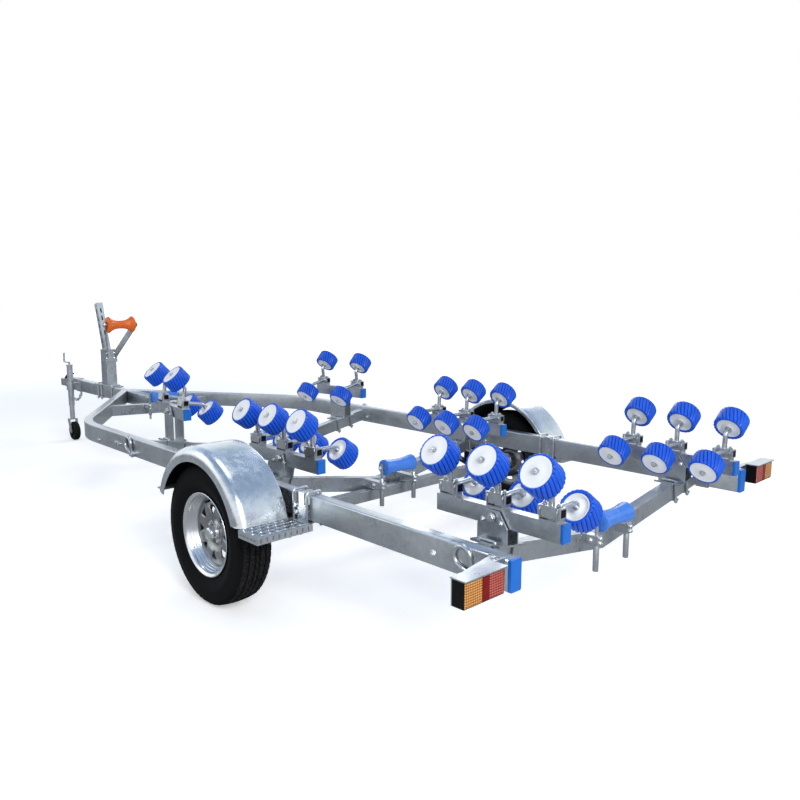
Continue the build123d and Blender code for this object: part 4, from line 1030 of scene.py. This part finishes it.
class Mudguards(bpy.types.Operator):
    """Makes the rolled mudguards with their shouldered edge and folded lips"""

    bl_idname = "trailer.mudguards"
    bl_label = "Mudguards"

    def execute(self, context):
        outer = mudguard_section()
        inner = set_in(outer, 0.003)
        strips = (
            (outer, "sheet_zinc"),
            ([outer[-1], inner[-1]], "sheet_zinc"),
            # the sheet's underside is given the black finish, darker than its zinc top
            (inner[::-1], "black_moulding"),
            ([inner[0], outer[0]], "sheet_zinc"),
        )
        angles = spread(-75.2, 69.0, 81)
        for side, sign in SIDES.items():
            bench = Bench()
            for strip, finish in strips:
                bench.skin([arched(strip, angle, sign) for angle in angles], finish, closed=False)
            for angle in (angles[0], angles[-1]):
                ends = [arched(outer, angle, sign), arched(inner, angle, sign)]
                bench.skin(ends, "sheet_zinc", closed=False)
            bench.deliver(f"mudguard_skin_{side}", "chassis", "galvanised_steel", f"mudguard_{side}")
        return {"FINISHED"}


class TieDownLoops(bpy.types.Operator):
    """Makes the forged lashing eyes with their bolts"""

    bl_idname = "trailer.tie_down_loops"
    bl_label = "Tie-down eyes"

    def execute(self, context):
        bench = Bench()
        bar, loop = 0.0088, 0.0335
        foot_ahead, foot_up = -0.040, 0.432
        route = [
            (foot_ahead - 0.004, foot_up - 0.010),
            *arc((0.004, 0.4835), loop, radians(-170), radians(-420), 40),
            (foot_ahead + 0.010, foot_up + 0.002),
        ]
        for ahead in (-1.245, 1.140):
            for sign in SIDES.values():
                eye = [spot(ahead + x, sign * (RAIL_FACE + bar), up) for x, up in route]
                bench.rod(eye, bar, "hot_dip_zinc", 14)
                seat = outward(ahead + foot_ahead, RAIL_FACE, foot_up, sign)
                collar = [(0, 0.0178), (0.0125, 0.0178), (0.0140, 0.0162)]
                bench.lathe(collar, seat, "hot_dip_zinc", 36, smooth=False)
                bench.bolt(seat @ at(0, 0, 0.0138), 0.012)
                bench.bolt(outward(ahead + 0.135, 0.8262, 0.458, sign), 0.0115, tail=0.003)
        bench.deliver("lashing_eyes", "chassis", "galvanised_steel", "tie_down_loops")
        return {"FINISHED"}


# ---- tail lamps ---------------------------------------------------------------------------------------
LAMP_LOW, LAMP_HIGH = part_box("lamp_housings")
LAMP_FACE, LAMP_UP = LAMP_LOW.x - AXLE, (LAMP_LOW.z + LAMP_HIGH.z) / 2
LAMP_WIDTH = 0.170
LAMP_INNER = LAMP_HIGH.y - LAMP_WIDTH
LENS_HEIGHT, LENS_DEPTH = 0.074, 0.0118
# windows of a lamp, by lens colour: from and to in shares of its width, finish
LENSES = {
    "amber": ((0.575, 0.985, "lens_amber"),),
    "red": ((0.400, 0.560, "lens_red"), (0.015, 0.385, "reflector_red")),
}


def lamp_lenses(windows):
    """The prism lenses of one colour on both lamps."""
    bench = Bench()
    for sign in SIDES.values():
        for low, high, finish in windows:
            left = LAMP_INNER + (low + high) / 2 * LAMP_WIDTH
            outline = rectangle((high - low) * LAMP_WIDTH, LENS_HEIGHT)
            bench.prism(outline, LENS_DEPTH, rearward(LAMP_FACE, sign * left, LAMP_UP), finish, 0.0028)
    return bench


def lamp_rims():
    """The raised edge round each lamp."""
    bench = Bench()
    depth = 0.010
    for sign in SIDES.values():
        middle = upright(LAMP_FACE - 0.003, sign * (LAMP_INNER + LAMP_WIDTH / 2), LAMP_UP)
        for edge in (-1, 1):
            bench.block((depth, LAMP_WIDTH, 0.0025), middle @ at(0, 0, edge * 0.0386), "black_moulding")
            bench.block((depth, 0.0022, 0.0790), middle @ at(0, edge * 0.0845, 0), "black_moulding")
    return bench


def lamp_gussets():
    """The three-cornered plates between the rails and the lamp brackets, each with a bolt."""
    bench = Bench()
    rear, gauge = -1.397, 0.003
    for sign in SIDES.values():
        near, far = sign * 0.8268, sign * 1.050
        plate = [(0, near), (0.052, near), (0.006, far), (0, far)]
        bench.prism(plate[::sign], gauge, upright(rear, 0, RAIL_TOP - 0.0032), "hot_dip_zinc")
        bench.bolt(upright(rear + 0.024, sign * 0.848, RAIL_TOP - 0.0002), 0.009)
    return bench


class Lamps(bpy.types.Operator):
    """Makes the tail lamps' prism lenses, reflectors and rims, and the gussets of their brackets"""

    bl_idname = "trailer.lamps"
    bl_label = "Tail lamps"

    def execute(self, context):
        lens("lens_amber", (0.78, 0.40, 0.12), (0.24, 0.060, 0.004), pitch=0.0150, relief=0.0016)
        lens("lens_red", (0.30, 0.003, 0.004), (0.14, 0.001, 0.001), pitch=0.0050, relief=0.0010)
        lens("reflector_red", (0.62, 0.16, 0.12), (0.16, 0.003, 0.004), pitch=0.0150, relief=0.0018)
        for colour, windows in LENSES.items():
            piece = f"prism_lenses_{colour}"
            lamp_lenses(windows).deliver(piece, "chassis", f"{colour}_lens", f"lamp_lenses_{colour}")
        lamp_rims().deliver("lamp_rims", "chassis", "black_plastic")
        lamp_gussets().deliver("lamp_gussets", "chassis", "galvanised_steel")
        return {"FINISHED"}


# ---- bolts, plates and clamps -------------------------------------------------------------------------
# bolts on both sides: ahead, left, up, size, how far the bolt's end stands out
SIDE_BOLTS = (
    (-0.440, 0.8305, 0.466, 0.010, 0.0),
    (-0.371, 0.8305, 0.466, 0.010, 0.0),
    (-0.440, 0.8305, 0.436, 0.010, 0.0),
    (-0.371, 0.8305, 0.436, 0.010, 0.0),
    (0.290, 0.8265, 0.446, 0.010, 0.0),
    (0.340, 0.8262, 0.462, 0.010, 0.0),
    (1.320, 0.8262, 0.462, 0.010, 0.0),
    (1.560, 0.8262, 0.440, 0.010, 0.0),
    (4.045, 0.0350, 0.466, 0.013, 0.004),
    (4.105, 0.0350, 0.466, 0.013, 0.004),
)
# nuts on both ends of a roller's pin: roller, left, size, how far the pin's end stands out
PIN_NUTS = (
    ("bow_roller", 0.1255, 0.014, 0.002),
    *((f"keel_roller_{name}", 0.1155, 0.010, 0.003) for name in MEMBERS),
)
POST_CLAMP_LEVELS = (0.744, 0.786)


def member_plates(bench, name, sign):
    """The plates and bolts that hold a cross-member's end to its rail."""
    ahead, up = MEMBERS[name][0], member_top(name, 0.745) - 0.042
    for shift in (-0.060, 0.060):
        plate = upright(ahead + shift * 0.92, sign * 0.7728, up)
        bench.block((0.060, 0.006, 0.062), plate, "hot_dip_zinc")
        bench.bolt(facing(spot(ahead + shift, sign * 0.7698, up), (0, -sign, 0)), 0.010, tail=0.006)


def pivot_fasteners():
    """The heads of a cradle's pivot pin, with the bolts beside them, in the cradle's own space."""
    bench = Bench()
    for end in (-1, 1):
        pin = facing((0, end * 0.045, 0), (0, end, 0))
        bench.lathe([(-0.0115, 0.017), (-0.0085, 0.017)], pin, "bright_zinc", 24, smooth=False)
        bench.hexagon(0.024, 0.008, pin @ at(0, 0, -0.0085))
        for along in (-0.038, 0.038):
            bench.bolt(facing((along, end * 0.0312, -0.014), (0, end, 0)), 0.009, tail=0.003)
    return bench


def saddle_fasteners(pairs):
    """The open ends of a cradle's saddle tubes, their hollows drawn as dark squares of painted shade, and
    the nuts on them, in the cradle's own space.
    """
    bench = Bench()
    for station in stations(pairs):
        for end in (-1, 1):
            mouth = facing((station + end * 0.0340, 0, ROCKER_HEIGHT), (end, 0, 0))
            bench.prism(rectangle(0.0340, 0.0340), 0.0090, mouth, "hot_dip_zinc", 0.0015)
            # a thin dark square in the tube's mouth: painted shade for its hollow
            bench.prism(rectangle(0.0250, 0.0250), 0.0004, mouth @ at(0, 0, 0.0090), "black_moulding")
            nut = facing((station + end * 0.0255, 0, ROCKER_HEIGHT + 0.0205), (0, 0, 1))
            bench.bolt(nut, 0.0080, tail=0.003)
    return bench


class Fasteners(bpy.types.Operator):
    """Adds the bolts, nuts and plates that hold the frame, its posts and its cradles"""

    bl_idname = "trailer.fasteners"
    bl_label = "Fasteners"

    def execute(self, context):
        bench = Bench()
        for sign in SIDES.values():
            for name in ("rear", "middle", "second"):
                member_plates(bench, name, sign)
            for ahead, left, up, size, tail in SIDE_BOLTS:
                bench.bolt(outward(ahead, left, up, sign), size, tail)
            for roller, left, size, tail in PIN_NUTS:
                ahead, _, up = pivot(roller)
                bench.bolt(outward(ahead, left, up, sign), size, tail)
            for up in POST_CLAMP_LEVELS:
                bench.bolt(rearward(3.307, sign * 0.030, up), 0.011, tail=0.004)
        pin_heads = pivot_fasteners()
        for name, pairs, swing, place, mirrored in cradle_places():
            bench.copy(pin_heads, place, mirrored)
        bench.deliver("frame_fasteners", "chassis", "zinc_bolts")
        for name, pairs, swing, place, mirrored in cradle_places():
            bench = Bench()
            bench.copy(saddle_fasteners(pairs), place, mirrored)
            bench.deliver(f"saddle_bolts_{name}", f"cradle_{name}", "zinc_bolts")
        return {"FINISHED"}


def step_grip(bench, sign):
    """Raised slots over a step plate with dark insets of painted shade for their openings, and plain ones
    along its rear and outer edges drawn as patches of painted shade.
    """
    low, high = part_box("step_plates")
    rear, front, outer = low.x - AXLE, high.x - AXLE, high.y
    top, inner = 0.4100, STEP_INNER
    slot = oblong(0.0060, 0.0125, 0.0058)
    mouth = [(0.50 * x, 0.60 * y) for x, y in slot]
    for row, ahead in enumerate(spread(rear + 0.018, front - 0.018, 4)):
        stagger = 0.5 * (row % 2)
        for index in range(6):
            left = inner + 0.030 + (outer - inner - 0.055) * (index + stagger) / 5.5
            place = upright(ahead, sign * left, top) @ Matrix.Rotation(pi / 2, 4, "Z")
            bench.prism(slot, 0.0022, place, "bright_zinc", 0.0007)
            # a thin dark inset on each slot: painted shade for its opening
            bench.prism(mouth, 0.0003, place @ at(0, 0, 0.0021), "black_moulding")
    # the plain slots along the edges are thin patches of darker zinc: painted shade for their openings
    for left in spread(inner + 0.016, outer - 0.016, 9):
        place = rearward(rear - 0.0001, sign * left, top - 0.015, pi / 2)
        bench.prism(mouth, 0.0006, place, "disc_zinc")
    for ahead in spread(rear + 0.016, front - 0.016, 5):
        bench.prism(mouth, 0.0006, outward(ahead, outer + 0.0001, top - 0.015, sign), "disc_zinc")


def rail_clamp(bench, sign):
    """The two U-bolts round a rail at its step, their nuts and the plate under the rail."""
    wire, corner = 0.0055, 0.009
    outer, inner, top, low = STEP_INNER + wire, 0.776 - wire, 0.5200 + wire, 0.386
    route = [
        (outer, low),
        *arc((outer - corner, top - corner), corner, 0.0, pi / 2, 4),
        *arc((inner + corner, top - corner), corner, pi / 2, pi, 4),
        (inner, low),
    ]
    for ahead in (-0.448, -0.363):
        bench.rod([spot(ahead, sign * left, up) for left, up in route], wire, "bright_zinc")
        for left in (outer, inner):
            bench.bolt(facing(spot(ahead, sign * left, 0.4055), (0, 0, -1)), 0.011)
    bench.block((0.110, 0.084, 0.005), upright(-0.4055, sign * 0.8030, 0.4085), "hot_dip_zinc")


def keel_clamp(bench, name, sign):
    """The sleeve of a keel roller's post and the clamp that holds it to its cross-member."""
    ahead, _, up = pivot(f"keel_roller_{name}")
    left = 0.108
    foot = 0.400 if name == "front" else 0.2505
    tall = up - 0.051 - foot
    sleeve = [(0, 0.0105), (0.0015, 0.0112), (tall - 0.001, 0.0112), (tall, 0.0104)]
    bench.lathe(sleeve, upright(ahead, sign * left, foot), "hot_dip_zinc", 24)
    top = member_top(name, left)
    rear, front = ahead - 0.015, MEMBERS[name][0] - 0.0255
    clamp = upright((rear + front) / 2, sign * left, top - 0.019)
    bench.block((front - rear, 0.034, 0.038), clamp, "hot_dip_zinc", 0.002)
    for drop in (0.010, 0.029):
        bench.bolt(rearward(rear, sign * left, top - drop), 0.0085, tail=0.004)
    side = outward(ahead + (front - rear) * 0.3, left + 0.0168, top - 0.019, sign)
    bench.bolt(side, 0.0095, tail=0.004)


class StepPlates(bpy.types.Operator):
    """Adds the steps' punched grip, the U-bolts round the rails and the keel posts' clamps"""

    bl_idname = "trailer.step_plates"
    bl_label = "Steps and clamps"

    def execute(self, context):
        bench = Bench()
        for sign in SIDES.values():
            step_grip(bench, sign)
            rail_clamp(bench, sign)
            for name in MEMBERS:
                keel_clamp(bench, name, sign)
        bench.deliver("steps_and_clamps", "chassis", "galvanised_steel")
        return {"FINISHED"}


# ---- hitch and mast -----------------------------------------------------------------------------------
BALL_AHEAD = 4.352                  # middle of the coupler's ball socket
# coupler's handle: behind the ball, above the rails' top, half its width, half its depth
HANDLE = (
    (0.185, 0.033, 0.012, 0.004),
    (0.160, 0.034, 0.019, 0.007),
    (0.130, 0.030, 0.021, 0.010),
    (0.095, 0.020, 0.021, 0.014),
    (0.060, 0.006, 0.020, 0.016),
    (0.030, -0.006, 0.016, 0.013),
)


def coupler_handle():
    """The coupler's handle, an oval bar that widens towards the boss at its front."""
    bench = Bench()
    rings = []
    for behind, rise, half_width, half_depth in HANDLE:
        middle = spot(BALL_AHEAD - behind, 0, RAIL_TOP + rise)
        rings.append([middle + Vector((0, *point)) for point in oblong(0.0, half_width, half_depth)])
    bench.solid(rings, "black_moulding")
    boss = [(0, 0.020), (0.008, 0.020), (0.012, 0.016)]
    bench.lathe(boss, upright(BALL_AHEAD - 0.032, 0, RAIL_TOP - 0.0178), "black_moulding", 28)
    return bench


def mast_slots():
    """A row of slots up each side of the leaning mast, drawn as thin black patches of painted shade."""
    bench = Bench()
    lean, half_mast = radians(17.3), 0.0250
    foot = spot(3.362, 0, RAIL_TOP + 0.190)
    up = Vector((sin(lean), 0, cos(lean)))
    back = Vector((-cos(lean), 0, sin(lean)))
    left = Vector((0, 1, 0))
    slot = oblong(0.0140, 0.0055, 0.0055)
    for face in (back, -back, left, -left):
        axes = Matrix((up, face.cross(up), face)).transposed().to_4x4()
        for along in spread(0.185, 0.433, 5):
            seat = Matrix.Translation(foot + up * along + face * half_mast)
            # each slot is a thin black patch on the zinc: painted shade for its opening
            bench.prism(slot, 0.0004, seat @ axes, "black_moulding")
    return bench


class Hitch(bpy.types.Operator):
    """Makes the coupler's handle and the mast's slots"""

    bl_idname = "trailer.hitch"
    bl_label = "Coupler and mast"

    def execute(self, context):
        coupler_handle().deliver("coupler_handle", "chassis", "black_plastic", "coupler_latch")
        mast_slots().deliver("mast_slots", "chassis", "black_plastic")
        return {"FINISHED"}


# ---- stage --------------------------------------------------------------------------------------------
# the studio's sky from under the floor to overhead: height from 0 to 1, colour
SKY = (
    (0.00, (0.30, 0.32, 0.34)),
    (0.49, (0.34, 0.37, 0.40)),
    (0.52, (1.00, 1.00, 1.00)),
    (0.70, (0.84, 0.91, 0.97)),
    (0.84, (0.30, 0.41, 0.58)),
    (1.00, (0.19, 0.29, 0.46)),
)
# the studio's soft square lamps: name, place, what it is aimed at, size, power in watts
STUDIO_LAMPS = (
    ("key_lamp", (-8.0, 3.0, 4.5), (0.0, 0.0, 0.4), 3.0, 420.0),
    ("fill_lamp", (4.5, 6.0, 4.5), (0.5, 0.0, 0.4), 4.0, 70.0),
    ("rim_lamp", (2.5, -7.0, 5.5), (0.0, 0.0, 0.5), 4.0, 160.0),
    ("top_lamp", (-1.0, 0.0, 7.5), (-0.5, 0.0, 0.4), 4.0, 130.0),
)
CAMERA_PLACE = (-2.7146, 2.5, 1.2941)   # ahead of the axle, left, up
CAMERA_YAW, CAMERA_PITCH = -0.7602, -0.1453


def floor_finish(colour):
    """A matt floor that glows to plain white around the trailer and looks dim in its reflections."""
    f = Finish("stage_floor")
    seen = f.node("ShaderNodeLightPath", output="Is Camera Ray")
    mirrored = f.node("ShaderNodeLightPath", output="Is Glossy Ray")
    reach = f.node("ShaderNodeVectorMath", {"operation": "LENGTH"}, [f.place()], "Value")
    grain = f.noise(3.0, detail=2)
    shade = f.blend(mirrored * 0.50 + grain * 0.02, colour, (0.10, 0.11, 0.12))
    strength = seen * (reach.above(8.0, soft=4.0) * 0.62 + 0.40)
    matt = f.node("ShaderNodeBsdfDiffuse", inputs={"Color": shade})
    glow = f.node("ShaderNodeEmission", inputs={"Color": (1, 1, 1, 1), "Strength": strength})
    f.close("ShaderNodeOutputMaterial", f.node("ShaderNodeAddShader", inputs=[matt, glow]))
    return f.material


def studio_air():
    """A world that is white to the eye and a pale horizon under a blue-grey sky to the zinc."""
    world = bpy.data.worlds.new("studio_air")
    world.use_nodes = True
    air = Nodes(world.node_tree)
    seen = air.node("ShaderNodeLightPath", output="Is Camera Ray")
    mirrored = air.node("ShaderNodeLightPath", output="Is Glossy Ray")
    ray = air.node("ShaderNodeTexCoord", output="Generated")
    rise = air.node("ShaderNodeSeparateXYZ", inputs=[ray], output="Z")
    sky = air.node("ShaderNodeValToRGB", {"stops": SKY}, [rise * 0.5 + 0.5])
    colour = air.blend(seen, sky, (1.0, 1.0, 1.0))
    strength = seen * 0.50 + mirrored * 0.90 + 0.50
    background = air.node("ShaderNodeBackground", inputs={"Color": colour, "Strength": strength})
    air.close("ShaderNodeOutputWorld", background)
    return world


class Stage(bpy.types.Operator):
    """Sets the pale floor, the soft lamps, the world and the camera"""

    bl_idname = "trailer.stage"
    bl_label = "Stage"

    def execute(self, context):
        scene = context.scene
        look = scene.stage_look
        bpy.ops.mesh.primitive_plane_add(size=90)
        floor = context.active_object
        floor.name = "stage_floor"
        floor.data.materials.append(floor_finish(tuple(look.floor)))
        scene.world = studio_air()
        for name, place, aim, size, power in STUDIO_LAMPS:
            lamp = bpy.data.lights.new(name, "AREA")
            lamp.size = size
            lamp.energy = power
            lit = bpy.data.objects.new(name, lamp)
            lit.matrix_world = facing(place, Vector(place) - Vector(aim))
            scene.collection.objects.link(lit)
        camera = bpy.data.objects.new("camera", bpy.data.cameras.new("camera"))
        camera.data.sensor_width = 36.0
        camera.data.lens = look.lens
        camera.data.clip_end = 200.0
        level = cos(CAMERA_PITCH)
        view = Vector((cos(CAMERA_YAW) * level, sin(CAMERA_YAW) * level, sin(CAMERA_PITCH)))
        camera.matrix_world = facing(spot(*CAMERA_PLACE), -view)
        scene.collection.objects.link(camera)
        scene.camera = camera
        scene.view_settings.view_transform = "Standard"
        return {"FINISHED"}


# ---- panel and run ------------------------------------------------------------------------------------
LOOKS = {
    "zinc_look": ZincLook,
    "roller_look": RollerLook,
    "tyre_look": TyreLook,
    "stage_look": StageLook,
}
PIECES = (
    ZincFinish, WobbleRollers, KeelRollers, Tyres, Wheels, Rails, Mudguards,
    TieDownLoops, Lamps, Fasteners, StepPlates, Hitch, Stage,
)


class TrailerPanel(bpy.types.Panel):
    """Lists the trailer's looks and pieces"""

    bl_idname = "VIEW3D_PT_trailer"
    bl_label = "Boat trailer"
    bl_space_type = "VIEW_3D"
    bl_region_type = "UI"
    bl_category = "Trailer"

    def draw(self, context):
        for name, group in LOOKS.items():
            box = self.layout.box()
            for field in group.__annotations__:
                box.prop(getattr(context.scene, name), field)
        for piece in PIECES:
            self.layout.operator(piece.bl_idname)


def register():
    for name, group in LOOKS.items():
        bpy.utils.register_class(group)
        setattr(bpy.types.Scene, name, bpy.props.PointerProperty(type=group))
    for piece in (*PIECES, TrailerPanel):
        bpy.utils.register_class(piece)


def unregister():
    for piece in reversed((*PIECES, TrailerPanel)):
        bpy.utils.unregister_class(piece)
    for name, group in LOOKS.items():
        delattr(bpy.types.Scene, name)
        bpy.utils.unregister_class(group)


def main():
    register()
    for piece in PIECES:
        group, operator = piece.bl_idname.split(".")
        getattr(getattr(bpy.ops, group), operator)()


if __name__ == "__main__":
    main()
